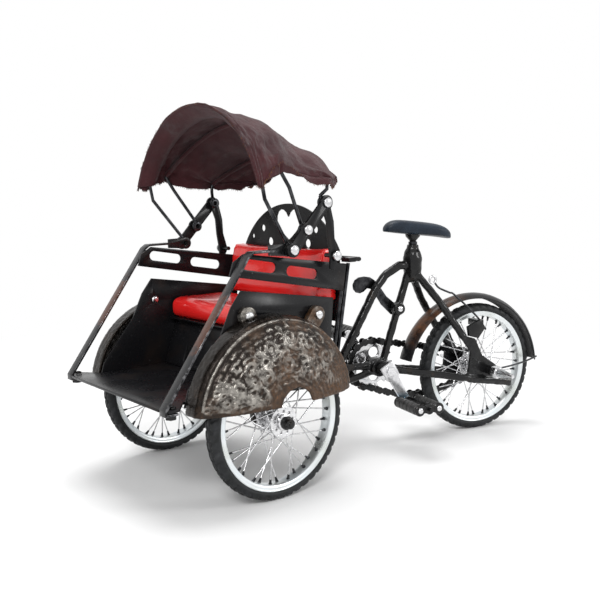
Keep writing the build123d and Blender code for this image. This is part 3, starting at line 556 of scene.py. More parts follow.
def dressed(node, width):
    """A copy of a CAD node with its sharp edges rounded."""
    data = NODES[node].data.copy()
    paint(data, NODE_FINISH[node])
    obj = new_object("worn_" + node, data)
    bm = bmesh.new()
    bm.from_mesh(data)
    bmesh.ops.remove_doubles(bm, verts=bm.verts, dist=WELD)
    bmesh.ops.dissolve_limit(bm, angle_limit=radians(1.0), verts=bm.verts, edges=bm.edges)
    bm.to_mesh(data)
    bm.free()
    bevel(obj, width, 32)
    if node.startswith("hand_strap"):
        # The side faces of a strap, its cut edges, get the painted highlight material.
        obj.data.materials.append(GLINT_EDGE)
        for face in obj.data.polygons:
            if abs(face.normal[0]) > 0.9 and face.center.y < STRAP_GLINT_BACK * MM:
                face.material_index = 1
    obj.data.shade_smooth()
    obj.data.set_sharp_from_angle(angle=radians(50))
    return obj


# ---------------------------------------------------------------- every CAD node gets a finish
def named(names):
    """Node names from a line of them; a star stands for left and right."""
    for name in names.split():
        yield from [name.replace("*", side_name) for _, side_name in SIDES] if "*" in name else [name]


FINISHES = {
    BLACK: "floor_board kick_plate seat_board heart_back_plate push_handle brake_lever"
           " side_panel_* side_rail_* hood_bar_* hood_strut_*",
    IRON: "front_axle main_frame brake_bracket chain sprocket floor_bolts rear_stays_*",
    STEEL: "kingpin rear_axle brake_rod chainring crankset hood_bolts_* fender_bolts_*",
    BLUED: "saddle_post fender_stay hood_bow_front hood_bow_middle hood_bow_rear rear_uprights_*",
    STRAP: "hand_strap_*", SADDLE: "saddle", RUSTED: "rear_fender", CLOTH: "canopy",
    VINYL: "seat_cushion back_cushion", RELIEF: "cast_fender_*", PEDAL: "pedal_*",
}
NODE_FINISH = {node: mat for mat, names in FINISHES.items() for node in named(names)}
for wheel in WHEELS:
    NODE_FINISH.update({"tyre_" + wheel: RUBBER, "rim_" + wheel: ALLOY, "spoked_hub_" + wheel: STEEL})
for node, obj in NODES.items():
    paint(obj.data, NODE_FINISH[node])

# Plain metal parts: the CAD solid with its edges rounded by so many mm.
STRAP_GLINT_BACK = 1.5      # the painted highlight on a strap's edge runs back to this y
for body, width, names in (
    ("cabin", 0.3, "floor_board kick_plate"), ("cabin", 0.25, "seat_board"),
    ("cabin", 0.3, "front_axle kingpin side_panel_* side_rail_* hand_strap_*"),
    ("cabin", 0.35, "hood_bar_* hood_strut_*"), ("crankset", 0.25, "chainring"),
    ("wheel_rear", 0.25, "sprocket"), ("rear_frame", 0.5, "brake_bracket"),
):
    for node in named(names):
        finish_piece(dressed(node, width), body, [node])


# ---------------------------------------------------------------- wheels
TREAD_STEPS = 360
TREAD_BLOCKS = 45
TREAD_HEIGHT = 0.85
# (x, radius, tread share) round the tyre's section, from one bead over the crown to the other, then inside
TYRE_SECTION = [
    (-3.7, 36.95, 0), (-4.05, 37.4, 0), (-4.4, 38.0, 0), (-4.55, 38.7, 0), (-4.5, 39.3, 0.2),
    (-4.3, 39.9, 1), (-4.1, 40.4, 1), (-3.75, 40.9, 1), (-3.3, 41.3, 1), (-2.8, 41.6, 1), (-2.3, 41.75, 1),
    (-1.8, 41.85, 1), (-1.3, 41.92, 1), (-0.9, 41.96, 1), (-0.45, 42.0, 1), (0, 42.0, 1),
]
TYRE_SECTION += [(-x, r, share) for x, r, share in reversed(TYRE_SECTION[:-1])]
TYRE_SECTION += [(2.6, 36.3, 0), (0, 36.0, 0), (-2.6, 36.3, 0)]


def smooth_step(value, low, high):
    share = min(max((value - low) / (high - low), 0.0), 1.0)
    return share * share * (3 - 2 * share)


def tread_depth(turn, x):
    """How far the tread stands up at this place: three rows of blocks with wavy grooves between them."""
    row_edge = 1.35
    wave = 0.22 * sin(2 * pi * turn)
    row = 0 if abs(x + wave) < row_edge else (1 if x > 0 else -1)
    gap = abs(abs(x + wave) - row_edge)
    shift = {0: 0.0, 1: 0.5, -1: 0.5}[row]
    along = (turn + shift + (0.12 * abs(x) if row else 0.05 * sin(3 * x))) % 1.0
    cross_gap = min(along, 1 - along)
    return smooth_step(gap, 0.12, 0.34) * smooth_step(cross_gap, 0.09, 0.19)


def tyre_mesh():
    verts = []
    for k in range(TREAD_STEPS):
        angle = 2 * pi * k / TREAD_STEPS
        for x, radius, share in TYRE_SECTION:
            depth = TREAD_HEIGHT * share * (1 - tread_depth(k / TREAD_STEPS * TREAD_BLOCKS, x))
            verts.append((x, *polar((0, 0), radius - depth, angle)))
    return verts, quads(TREAD_STEPS, len(TYRE_SECTION), True)


RIM_SECTION = [
    (-3.2, 37.0), (-3.75, 37.15), (-4.15, 36.95), (-4.2, 36.5), (-4.0, 36.2), (-3.95, 35.5), (-3.85, 34.7),
    (-3.5, 34.05), (-2.9, 33.75), (-1.4, 33.6), (1.4, 33.6), (2.9, 33.75), (3.5, 34.05), (3.85, 34.7),
    (3.95, 35.5), (4.0, 36.2), (4.2, 36.5), (4.15, 36.95), (3.75, 37.15), (3.2, 37.0), (2.6, 35.2),
    (-2.6, 35.2),
]
HUB_FLANGE_X = 5.6
HUB_FLANGE_RADIUS = 8.4
FLANGE_HOLE_AT = 5.6
SPOKES_PER_SIDE = 18
SPOKE_SWEEP = radians(60)  # from its hole in the hub to its nipple, as a turn of the wheel
SPOKE_HUB_AT, SPOKE_RIM_AT = 7.6, 33.7


def spoke_ends(side, index):
    lean = 1 if index % 2 == 0 else -1
    pitch = 2 * pi / SPOKES_PER_SIDE
    hub_angle = index * pitch + (pitch / 2 if side < 0 else 0)
    start = Vector((side * (HUB_FLANGE_X + lean * 0.55), *polar((0, 0), SPOKE_HUB_AT, hub_angle)))
    end = Vector((side * 1.0, *polar((0, 0), SPOKE_RIM_AT, hub_angle + lean * SPOKE_SWEEP)))
    return start, end


HUB_SECTION = [
    (-8.0, 1.7), (-8.0, 3.9), (-7.7, 4.3), (-6.5, 4.4), (-6.5, 3.6), (-4.7, 3.5), (-3.6, 3.1), (3.6, 3.1),
    (4.7, 3.5), (6.5, 3.6), (6.5, 4.4), (7.7, 4.3), (8.0, 3.9), (8.0, 1.7),
]


def flange_plate(x, holes=9):
    """One hub flange: a disc pierced between its spokes."""
    rings = [circle((0, 0), HUB_FLANGE_RADIUS - 0.2, 72)]
    for k in range(holes):
        rings.append(circle(polar((0, 0), FLANGE_HOLE_AT, 2 * pi * (k + 0.5) / holes), 1.0, 12))
    data = filled_outline("flange", rings, 0.5, 0.22)
    data.transform(Matrix.Translation((x * MM, 0, 0)) @ Matrix.Rotation(pi / 2, 4, "Y"))
    return data


tyre_verts, tyre_faces = tyre_mesh()
barrel = loose_mesh(Soup().lathe(HUB_SECTION, (0, 0, 0), (1, 0, 0), 40, closed=True), STEEL)
flanges = [flange_plate(x) for x in (-HUB_FLANGE_X, HUB_FLANGE_X)]
for wheel, (body, place) in WHEELS.items():
    tyre = mesh_piece("block_tread_" + wheel, tyre_verts, tyre_faces, RUBBER, 60, place)
    finish_piece(tyre, body, ["tyre_" + wheel])
    rim = Soup().lathe(RIM_SECTION, (0, 0, 0), (1, 0, 0), 144, closed=True)
    rim.finish("deep_rim_" + wheel, ALLOY, 35, body, ["rim_" + wheel], place)
    shell = join_meshes("hub_shell_" + wheel, [barrel, *flanges], STEEL, place=place)
    finish_piece(shell, body, ["spoked_hub_" + wheel])
    spokes, nipples = Soup(), Soup()
    for side in (-1, 1):
        for index in range(SPOKES_PER_SIDE):
            start, end = spoke_ends(side, index)
            way = (end - start).normalized()
            spokes.rod(start, end, 0.36, 8)
            spokes.ball(start, 0.75, 0.6, (1, 0, 0), 8, 5)
            nipples.rod(end - way * 2.6, end + way * 0.2, 0.55, 8, 0.8)
            nipples.lathe([(-0.35, 1.0), (0.1, 0.9), (0.4, 1.1)], end, way, 10)
    spokes.finish("laced_spokes_" + wheel, STEEL, 60, body, place=place)
    nipples.finish("nipples_" + wheel, BLUED, 40, body, place=place)


# ---------------------------------------------------------------- hood
ARCH_FLANK = 0.15          # radius of an arch's flanks over its height


def arch_arcs(half_width, height):
    """Radius of an arch's flanks and of its crown, and the angle at which they meet."""
    flank = ARCH_FLANK * height
    crown = ((half_width - flank) ** 2 + height ** 2 - flank ** 2) / (2 * (height - flank))
    return flank, crown, atan2(crown - height, half_width - flank)


def arch_point(half_width, height, angle):
    flank, crown, meet = arch_arcs(half_width, height)
    turn = min(angle, pi - angle)
    if turn <= meet:
        across, up = half_width - flank + flank * cos(turn), flank * sin(turn)
    else:
        across, up = crown * cos(turn), height - crown + crown * sin(turn)
    return (across if angle <= pi / 2 else -across), up


# Sections of the sheet: y, z of the foot, half width, rise, lean-back of its top.
HOOD = [(-11.6, 164.0, 59.5, 41.0, 1.0), (-5.9, 164.5, 57.5, 39.5, 2.0), (5.5, 169.8, 58.0, 29.0, 15.0),
        (37.6, 164.5, 56.5, 18.5, 15.0), (57.0, 165.0, 38.5, 13.5, 1.0)]
BACK_WALL = 12             # rows of the sheet from the back arch down to the back hem
BACK_HEM_RISE = (-34.0, -4.0)    # where, in x, the back hem climbs
HOOD_OUT = 2.4             # the sheet stands this far outside the bows' sections
HOOD_ACROSS, HOOD_ALONG = 150, 96


def arch_angles(count):
    """Angles that walk an arch at an even pace, for a middling section."""
    fine = [pi * k / 2000 for k in range(2001)]
    points = [arch_point(57.0, 34.0, a) for a in fine]
    lengths = [0.0]
    for a, b in zip(points, points[1:]):
        lengths.append(lengths[-1] + dist(a, b))
    return [float(np.interp(lengths[-1] * k / count, lengths, fine)) for k in range(count + 1)]


def fold_noise(x, y, seed=0.0):
    """Even, wavy values from about -0.5 to 0.5."""
    return noise.noise(Vector((x, y, seed)))


def hood_point(angle, section, out=HOOD_OUT):
    """A point of a section's arch, or of one that stands so far outside it."""
    y, z, half_width, rise, lean = section
    height = hypot(rise, lean)
    across, up = arch_point(half_width + out, height + out, angle)
    return Vector((across, y + up * lean / height, z + up * rise / height))


def hood_mesh():
    """Rows of the sheet from the front hem to the back hem, each with a strip hanging at its two ends."""
    angles = arch_angles(HOOD_ACROSS)
    hems = 5               # steps of the strip below the foot of the arch
    rows = []
    for j in range(HOOD_ALONG + BACK_WALL + 1):
        v = min(j, HOOD_ALONG) / HOOD_ALONG * (len(HOOD) - 1)
        k = min(int(v), len(HOOD) - 2)
        t = v - k
        down = max(j - HOOD_ALONG, 0) / BACK_WALL
        row = []
        for side_step in range(-hems, HOOD_ACROSS + hems + 1):
            step = min(max(side_step, 0), HOOD_ACROSS)
            below = max(-side_step, side_step - HOOD_ACROSS, 0) / hems
            angle = angles[step]
            across = abs(step / HOOD_ACROSS * 2 - 1)
            left = step < HOOD_ACROSS / 2
            point = hood_point(angle, HOOD[k]).lerp(hood_point(angle, HOOD[k + 1]), t)
            inward = Vector((-copysign(1, point.x) * min(abs(point.x) / 30, 1), 0, -0.8)).normalized()
            span = (0.0, 0.5, 2.4, 0.8)[k]
            sag = span * 4 * t * (1 - t) * (0.35 + 0.65 * sin(angle))
            folds = 1.5 * fold_noise(v * 1.7 + across * 2.2, step * 0.055, 3.1)
            folds += 0.9 * fold_noise(v * 4.0 - step * 0.05, step * 0.11, 9.0)
            folds += 0.35 * fold_noise(v * 11.0 + step * 0.03, step * 0.22, 5.0)
            folds *= 0.25 + 0.75 * smooth_step(4 * t * (1 - t), 0.0, 0.5)
            gather = 0.5 * smooth_step(across, 0.6, 1.0) * fold_noise(v * 6.0, 3.0 if left else 7.0)
            point += inward * (sag + folds * (0.5 + across) + gather)
            hem = 1.6 + 1.5 * fold_noise(v * 1.3, 5.0 if left else 8.0) + 0.9 * fold_noise(v * 5.0, 1.0)
            hem += (0.0, 0.0, 1.8, 0.6)[k] * 4 * t * (1 - t)
            if left:
                hem -= 5.5 * smooth_step(point.y, -8, 0) * (1 - smooth_step(point.y, 12, 30))
            hem -= hem * smooth_step(down, 0.0, 0.3)
            point.z -= below * hem
            point.x += copysign(1, point.x) * below * 0.5
            if down and below:
                point.x -= copysign(1, point.x) * 1.4 * below * down
            if down:
                foot = 163.5 + 9.0 * smooth_step(point.x, BACK_HEM_RISE[0], BACK_HEM_RISE[1])
                foot += 0.9 * fold_noise(step * 0.13, 2.0) + 0.8 * sin(step * 0.12)
                fall = smooth_step(down, 0.0, 1.0) * 0.4 + down * 0.6
                point.z += min(foot - point.z, 0.0) * fall
                ripple = 1.1 * sin(step * 0.33 + 2.0 * fold_noise(step * 0.05, 4.0)) * down
                point.y += 1.6 * sin(pi * down) - 1.0 * down + ripple
            row.append(point)
        rows.append(row)
    return rows


def sheet_piece(name, rows, thick, offset):
    verts = [p for row in rows for p in row]
    faces = [face[:1] + face[:0:-1] for face in quads(len(rows), len(rows[0]), width_round=False)]
    obj = mesh_piece(name, verts, faces, CLOTH, 80)
    modify(obj, "SOLIDIFY", thickness=thick * MM, offset=offset)
    apply_modifiers(obj)
    obj.data.shade_smooth()
    return obj


hood_rows = hood_mesh()
hood = finish_piece(sheet_piece("hood_cloth", hood_rows, 0.55, 0.0), "cabin", ["canopy"])


# The front hem, turned in under the front bow.
HEM_BAND = [(0.0, 2.1), (0.25, 1.3), (0.5, 0.0), (0.8, -1.4), (1.15, -2.0), (1.5, -1.8)]
band_rows = []
for along, out in HEM_BAND:
    front, behind = (HOOD[0], HOOD[1]) if along <= 1 else (HOOD[1], HOOD[2])
    share = along if along <= 1 else (along - 1) * 0.5
    section = [a + (b - a) * share for a, b in zip(front, behind)]
    row = []
    for step, angle in enumerate(arch_angles(HOOD_ACROSS)):
        wave = 0.5 * fold_noise(step * 0.09, along * 2.0, 6.0) * along
        row.append(hood_point(angle, section, out) + Vector((0, wave, wave)))
    band_rows.append(row)
band = finish_piece(sheet_piece("front_hem_band", band_rows, 0.5, -1.0), "cabin")


# Loose threads along the hems.
threads = Soup()
hem_points = [row[0] for row in hood_rows] + [row[-1] for row in hood_rows]
hem_points += [hood_rows[0][i] for i in range(0, len(hood_rows[0]), 2)]
hem_points += [hood_rows[-1][i] for i in range(0, len(hood_rows[-1]), 3)]
for point in hem_points:
    for _ in range(2):
        way = Vector((random.uniform(-0.5, 0.5), random.uniform(-0.7, 0.7), -random.uniform(0.4, 1.3)))
        start = point + Vector((0, random.uniform(-0.4, 0.4), 0.3))
        end = start + way + Vector((random.uniform(-0.4, 0.4), 0, 0))
        threads.tube([start, start + way * 0.6, end], 0.11, 4, 1)
threads.finish("frayed_hem", THREAD, 60, "cabin")

# The three wire bows, smooth where the cloth lies on them.
BOLT_1, BOLT_2, BOLT_3, BOLT_4 = (13.9, 129.4), (23.4, 139.4), (37.0, 153.4), (43.2, 124.6)
BOW_X, BOW_STEPS = 53.0, 60
BOWS = {
    "front": (BOLT_1, (-4.3, 156.0), HOOD[1]),
    "middle": (BOLT_2, (11.0, 161.5), HOOD[2]),
    "rear": (BOLT_3, (37.4, 160.5), HOOD[3]),
}
for bow_name, (bolt, knee, section) in BOWS.items():
    arch = [hood_point(pi * k / BOW_STEPS, section, 0.0) for k in range(BOW_STEPS + 1)]
    foot = (bolt[0] - 1.5, bolt[1] + 3.6)
    half_width = section[2]
    path = [(BOW_X, *foot), (half_width, *knee), *arch, (-half_width, *knee), (-BOW_X, *foot)]
    wire = Soup().tube(path, 1.0, 12, 1)
    for side in (-1, 1):
        wire.lathe([(-0.7, 1.4), (-0.7, 3.0), (-0.5, 3.2), (0.5, 3.2), (0.7, 3.0), (0.7, 1.4)],
                   (side * BOW_X, *bolt), (1, 0, 0), 28, closed=True)
        wire.rod((side * BOW_X, bolt[0] - 0.5, bolt[1] + 2.2), (side * BOW_X, *foot), 1.5, 10, 1.0)
    wire.finish("bow_wire_" + bow_name, BLUED, 50, "cabin", ["hood_bow_" + bow_name])
    casing = Soup().tube(arch[2:-2], 1.35, 12, 1)
    casing.finish("bow_casing_" + bow_name, CLOTH, 60, "cabin")


# ---------------------------------------------------------------- back plate, from its outline
HEART_Z = 141.0
HEART = [(0.0, 3.8), (1.6, 6.2), (4.0, 7.8), (7.0, 8.2), (9.8, 6.8), (11.4, 4.2), (11.6, 1.0), (10.4, -2.0),
         (7.4, -5.0), (3.4, -8.0), (0.0, -10.2)]
heart = [(x, HEART_Z + z) for x, z in HEART] + [(-x, HEART_Z + z) for x, z in reversed(HEART[1:-1])]
BACK_Y = 55.1
BACK_HALF, BACK_FOOT, BACK_TOP, BACK_CROWN = 45.6, 86.0, 152.6, 26.1
crown_radius = (BACK_HALF ** 2 + BACK_CROWN ** 2) / (2 * BACK_CROWN)
half_turn = asin(BACK_HALF / crown_radius)
back_outline = [(-BACK_HALF, BACK_FOOT), (BACK_HALF, BACK_FOOT)]
back_outline += arc((0, BACK_TOP - crown_radius), crown_radius, pi / 2 - half_turn, pi / 2 + half_turn, 48)
back_rings = [back_outline, heart]
for hole_x, hole_z, hole_radius in ((18.2, 129.4, 2.6), (25.5, 137.6, 2.1), (36.4, 132.4, 1.4)):
    for side in (-1, 1):
        back_rings.append(circle((side * hole_x, hole_z), hole_radius, 20))
back_data = filled_outline("pierced_back_plate", back_rings, 0.4, 0.2, -0.2)
back_data.transform(Matrix.Rotation(pi / 2, 4, "X"))
back_place = Matrix.Translation((0, BACK_Y * MM, 0))
back_plate = join_meshes("pierced_back_plate", [back_data], BLACK, 35, back_place)
finish_piece(back_plate, "cabin", ["heart_back_plate"])


# ---------------------------------------------------------------- cushions: stuffed vinyl
SIM_SCALE = 10.0           # the cloth settles better at ten times the size
SKIN_VOXEL = 1.3
SWELL = 0.7                # the most that the stuffing lifts the skin
STUFFING = 4.0             # its pressure
SETTLING = 20              # frames that the skin takes to come to rest


def stuffed(node):
    """A CAD block swollen a little by its stuffing, under a skin of vinyl."""
    data = NODES[node].data.copy()
    paint(data, VINYL)
    obj = new_object(node + "_vinyl", data)
    data.transform(Matrix.Scale(SIM_SCALE, 4))
    modify(obj, "REMESH", mode="VOXEL", voxel_size=SKIN_VOXEL * MM * SIM_SCALE)
    apply_modifiers(obj)
    before = np.array([v.co for v in obj.data.vertices])
    skin = modify(obj, "CLOTH")
    settings = skin.settings
    settings.use_pressure = True
    settings.uniform_pressure_force = STUFFING
    settings.effector_weights.gravity = 0.0
    settings.tension_stiffness = settings.compression_stiffness = 40.0
    settings.bending_stiffness = 2.0
    SCENE.frame_start, SCENE.frame_end = 1, SETTLING
    skin.point_cache.frame_start, skin.point_cache.frame_end = 1, SETTLING
    for step in range(1, SETTLING + 1):
        SCENE.frame_set(step)
    apply_modifiers(obj)
    SCENE.frame_set(1)
    move = np.array([v.co for v in obj.data.vertices]) - before
    size = np.linalg.norm(move, axis=1, keepdims=True)
    limit = SWELL * MM * SIM_SCALE
    after = before + move * np.minimum(1.0, limit / np.maximum(size, 1e-9))
    obj.data.vertices.foreach_set("co", after.ravel())
    modify(obj, "SMOOTH", factor=0.5, iterations=4)
    modify(obj, "SUBSURF", levels=1)
    apply_modifiers(obj)
    obj.data.transform(Matrix.Scale(1 / SIM_SCALE, 4))
    obj.data.shade_smooth()
    return obj


for node in ("seat_cushion", "back_cushion"):
    cushion = finish_piece(stuffed(node), "cabin", [node])


# ---------------------------------------------------------------- cast pieces: remeshed and roughened
def cast(name, parts, mat, voxel, rough, grain, smooth=3, lift=None):
    """Meshes fused into one lumpy casting."""
    obj = new_object(name, merged(name, parts, mat, weld=True))
    modify(obj, "REMESH", mode="VOXEL", voxel_size=voxel * MM)
    modify(obj, "SMOOTH", factor=0.5, iterations=smooth)
    apply_modifiers(obj)
    data = obj.data
    count = len(data.vertices)
    places, normals = np.empty(count * 3), np.empty(count * 3)
    data.vertices.foreach_get("co", places)
    data.vertices.foreach_get("normal", normals)
    places, normals = places.reshape(-1, 3), normals.reshape(-1, 3)
    lumps = np.empty((count, 1))
    for k, at in enumerate(places / (MM * grain)):
        at = Vector(at)
        lumps[k] = noise.noise(at) * 0.7 + noise.noise(at * 2.3) * 0.3
    data.vertices.foreach_set("co", (places + normals * lumps * rough * MM).ravel())
    # The lift attribute sets the painted highlight of the raised parts.
    if lift is not None:
        layer = data.attributes.new("lift", "FLOAT", "POINT")
        layer.data.foreach_set("value", [lift(at) for at in places / MM])
    paint(data, mat)
    data.shade_smooth()
    return obj


# The lug in which the seat post stands.
LUG_SECTION = [(0, 0.4), (0, 5.2), (4, 6.0), (11, 6.0), (14.8, 5.2), (17.4, 3.6), (18.6, 2.0), (18.6, 0.4)]
lug = Soup().lathe(LUG_SECTION, (0, 117.7, 105.5), (0, 0, 1), 28).ball((0, 117.7, 106.0), 5.6)
frame_parts = [NODES[n].data for n in ("main_frame", "rear_stays_left", "rear_stays_right")]
brazed = cast("brazed_frame", frame_parts + [loose_mesh(lug, IRON, REAR)], IRON, 0.6, 0.35, 4.0, 6)
finish_piece(brazed, "rear_frame", ["main_frame", "rear_stays_left", "rear_stays_right"])


# Saddle: a domed pad, narrow at the nose and broad at the back. Rows: y, half width, top, underside.
SADDLE_ROWS = [(97.0, 0.3, 134.6, 134.0), (97.4, 2.6, 136.4, 133.8), (99.2, 4.2, 138.8, 133.5),
               (102.6, 5.2, 140.6, 133.0), (107.0, 6.1, 141.0, 132.4), (114.0, 7.4, 140.3, 131.6),
               (121.0, 9.0, 139.5, 130.8), (128.0, 10.4, 138.6, 130.0), (134.0, 10.9, 137.6, 129.3),
               (138.8, 9.9, 135.8, 128.6), (142.2, 7.2, 132.9, 128.0), (143.8, 3.6, 130.0, 127.8),
               (144.2, 0.3, 128.6, 127.9)]
SADDLE_AROUND = 36
saddle_verts = []
for y, half_width, top, under in SADDLE_ROWS:
    for k in range(SADDLE_AROUND):
        c, t = polar((0, 0), 1.0, 2 * pi * k / SADDLE_AROUND)
        across = half_width * copysign(abs(c) ** 0.8, c)
        rise = copysign(abs(t) ** (0.9 if t > 0 else 0.3), t)
        saddle_verts.append((across, y, (top + under) / 2 + (top - under) / 2 * rise))
saddle_faces = capped(len(SADDLE_ROWS), SADDLE_AROUND)
saddle_pad = mesh_piece("domed_saddle", saddle_verts, saddle_faces, SADDLE, 80, REAR)
modify(saddle_pad, "SUBSURF", levels=2)
apply_modifiers(saddle_pad)
saddle_pad.data.shade_smooth()
finish_piece(saddle_pad, "rear_frame", ["saddle"])


# ---------------------------------------------------------------- drive, in the rear frame's own place
def on_crank(side, along, across=0.0):
    """y, z of a place on a side's crank, along it from the spindle and across it."""
    return (CRANK[0] + side * (along * cos(CRANK_ANGLE) - across * sin(CRANK_ANGLE)),
            CRANK[1] + side * (along * sin(CRANK_ANGLE) + across * cos(CRANK_ANGLE)))


def plate(name, outline, low_x, high_x, mat, edge=0.3):
    """A flat plate from its outline in y, z of the rear frame."""
    count = len(outline)
    verts = [(x, y, z) for x in (low_x, high_x) for y, z in outline]
    obj = mesh_piece(name, verts, capped(2, count), mat, 35)
    bevel(obj, edge, 40)
    obj.data.transform(REAR)
    shade(obj, 40)
    return obj


CRANK_FACE = 17.6           # x of the crank's outer face
CRANK_OUTLINE = [(-4.6, -4.6), (4.6, -4.6), (5.8, -3.2), (21.5, -2.9), (24.0, -2.0), (25.0, 0.0), (24.0, 2.0),
                 (21.5, 2.9), (5.8, 3.2), (4.6, 4.6), (-4.6, 4.6)]
spindle = Soup().rod((-16.4, *CRANK), (16.4, *CRANK), 2.4, 24)
for side, side_name in SIDES:
    spindle.rod((side * 6.4, *CRANK), (side * 15.3, *CRANK), 3.5, 24, 3.2)
    low_x, high_x = sorted((side * 15.2, side * CRANK_FACE))
    bar = [on_crank(side, *point) for point in CRANK_OUTLINE]
    bar = plate("crank_bar_" + side_name, bar, low_x, high_x, CRANK_STEEL if side > 0 else STEEL)
    finish_piece(bar, "crankset")
    tip = on_crank(side, CRANK_LENGTH)
    spindle.rod((side * 16.4, *tip), (side * 46.0, *tip), 1.2, 18)
spindle.finish("crank_spindle", IRON, 40, "crankset", ["crankset"], REAR)

LEVER_OUTLINE = [(109.5, 82.0), (104.1, 80.8), (96.9, 87.8), (93.0, 94.0), (89.8, 98.0), (86.8, 98.8),
                 (84.2, 96.8), (81.6, 95.9), (79.0, 96.6), (77.2, 98.8), (76.9, 101.6), (78.3, 104.3),
                 (81.0, 105.9), (85.0, 106.3), (89.0, 105.6), (92.3, 103.4), (96.4, 98.6), (100.6, 92.8),
                 (105.8, 88.6), (109.5, 88.0)]
lever = plate("brake_lever_hook", LEVER_OUTLINE, -4.8, -3.3, BLUED, 0.25)
finish_piece(lever, "rear_frame", ["brake_lever"])

# Rear axle: black spacers, hexagon nuts and pointed pegs.
AXLE_FACE, PEG_TIP = 15.5, 40.0
SPACER, NUT = 6.0, 4.4     # how far along the axle each reaches
spacers, nuts = Soup(), Soup()
spacers.rod((-24, WHEEL_BASE, AXLE_Z), (24, WHEEL_BASE, AXLE_Z), 1.6, 20)
for side in (-1, 1):
    face, nut_face, peg_foot = [Vector((side * (AXLE_FACE + out), WHEEL_BASE, AXLE_Z))
                                for out in (0, SPACER, SPACER + NUT)]
    spacers.lathe([(0, 0.5), (0, 2.9), (SPACER, 2.9), (SPACER, 0.5)], face, (side, 0, 0), 28)
    nuts.hexagon(nut_face, (side, 0, 0), 7.2, 4.6, 0.4)
    peg = PEG_TIP - AXLE_FACE - SPACER - NUT
    nuts.lathe([(0, 3.0), (3.0, 2.8), (peg - 0.2, 1.2), (peg, 0.4)], peg_foot, (side, 0, 0), 28)
spacers.finish("axle_spacers", IRON, 35, "rear_frame", ["rear_axle"], REAR)
nuts.finish("axle_nuts", STEEL, 30, "rear_frame", place=REAR)

# Rear fender: a thin crowned strip, struck from a point ahead of the axle and below it.
FENDER_STRIP = [(-6.6, 50.6), (-5.0, 52.0), (-2.6, 53.0), (0, 53.4), (2.6, 53.0), (5.0, 52.0), (6.6, 50.6),
                (6.2, 49.9), (4.8, 51.1), (2.5, 52.1), (0, 52.5), (-2.5, 52.1), (-4.8, 51.1), (-6.2, 49.9)]
FENDER_CENTRE = (161.2, 38.0)
FENDER_FROM, FENDER_SWEEP, FENDER_STEPS = 5.0, 160.0, 90    # in degrees
strip_verts = []
for k in range(FENDER_STEPS + 1):
    turn = radians(FENDER_FROM + FENDER_SWEEP * k / FENDER_STEPS)
    strip_verts += [(x, *polar(FENDER_CENTRE, r, turn)) for x, r in FENDER_STRIP]
strip = mesh_piece("crowned_fender", strip_verts, capped(FENDER_STEPS + 1, len(FENDER_STRIP)), RUSTED, 45)
strip.data.transform(REAR)
finish_piece(strip, "rear_frame", ["rear_fender"])

CLAMP_SECTION = [(0, 2.2), (1.2, 2.6), (2.0, 2.6), (2.6, 2.0), (5.6, 4.6), (7.0, 4.8)]
clamp = Soup().lathe(CLAMP_SECTION, (0, 118.0, 124.6), (0, 0, 1), 24)
clamp.finish("saddle_clamp", IRON, 40, "rear_frame", place=REAR)

crank_caps = Soup()
for side in (1, -1):
    centre = (side * CRANK_FACE, *CRANK)
    crank_caps.hexagon(centre, (side, 0, 0), 5.2, 1.6, 0.3)
    crank_caps.washer(centre, (side, 0, 0), 2.4, 3.4, 0.5, 24)
    crank_caps.dome((side * CRANK_FACE, *on_crank(side, CRANK_LENGTH)), (side, 0, 0), 2.0, 0.9, 20, 0.3)
crank_caps.finish("crank_caps", STEEL, 30, "crankset", place=REAR)

# Pedals: two ribbed blocks between end plates.
PEDAL_INNER, PEDAL_LENGTH = 21.0, 21.0
BLOCK_SHIFT = 6.5          # from the pedal's axle to each block's
BLOCK_RIBS, RIB_PITCH = 5, 4.0
for side, side_name in SIDES:
    tip_y, tip_z = on_crank(side, CRANK_LENGTH)
    body, out = "pedal_" + side_name, (side, 0, 0)
    block, plates, bolts = Soup(), Soup(), Soup()
    profile = [(0.0, 2.9), (0.5, 3.35)]
    for k in range(BLOCK_RIBS):
        start = 0.9 + RIB_PITCH * k
        profile += [(start, 3.4), (start + 2.9, 3.4), (start + 3.15, 2.85), (start + 3.75, 2.85)]
    profile += [(PEDAL_LENGTH - 0.4, 3.35), (PEDAL_LENGTH, 2.9)]
    for shift in (-BLOCK_SHIFT, BLOCK_SHIFT):
        block.lathe(profile, (side * PEDAL_INNER, tip_y + shift, tip_z), out, 26)
        bolts.dome((side * 44.0, tip_y + shift, tip_z), out, 1.7, 1.0, 18, 0.4)
    for start_x in (PEDAL_INNER - 2.0, PEDAL_INNER + PEDAL_LENGTH):
        for shift in (-BLOCK_SHIFT, BLOCK_SHIFT):
            plates.lathe([(0, 3.1), (0.3, 3.4), (1.7, 3.4), (2.0, 3.1)],
                         (side * start_x, tip_y + shift, tip_z), out, 28)
        low_x, high_x = sorted((side * (start_x + 0.2), side * (start_x + 1.8)))
        for low_y, high_y in ((-BLOCK_SHIFT, -2.0), (2.0, BLOCK_SHIFT)):
            plates.box((low_x, tip_y + low_y, tip_z - 1.9), (high_x, tip_y + high_y, tip_z + 1.9))
        plates.washer((side * start_x, tip_y, tip_z), out, 1.5, 2.9, 2.0)
    block.finish("pedal_blocks_" + side_name, PEDAL, 30, body, place=REAR)
    plates.finish("pedal_plates_" + side_name, IRON, 30, body, [body], REAR)
    bolts.finish("pedal_bolts_" + side_name, STEEL, 30, body, place=REAR)


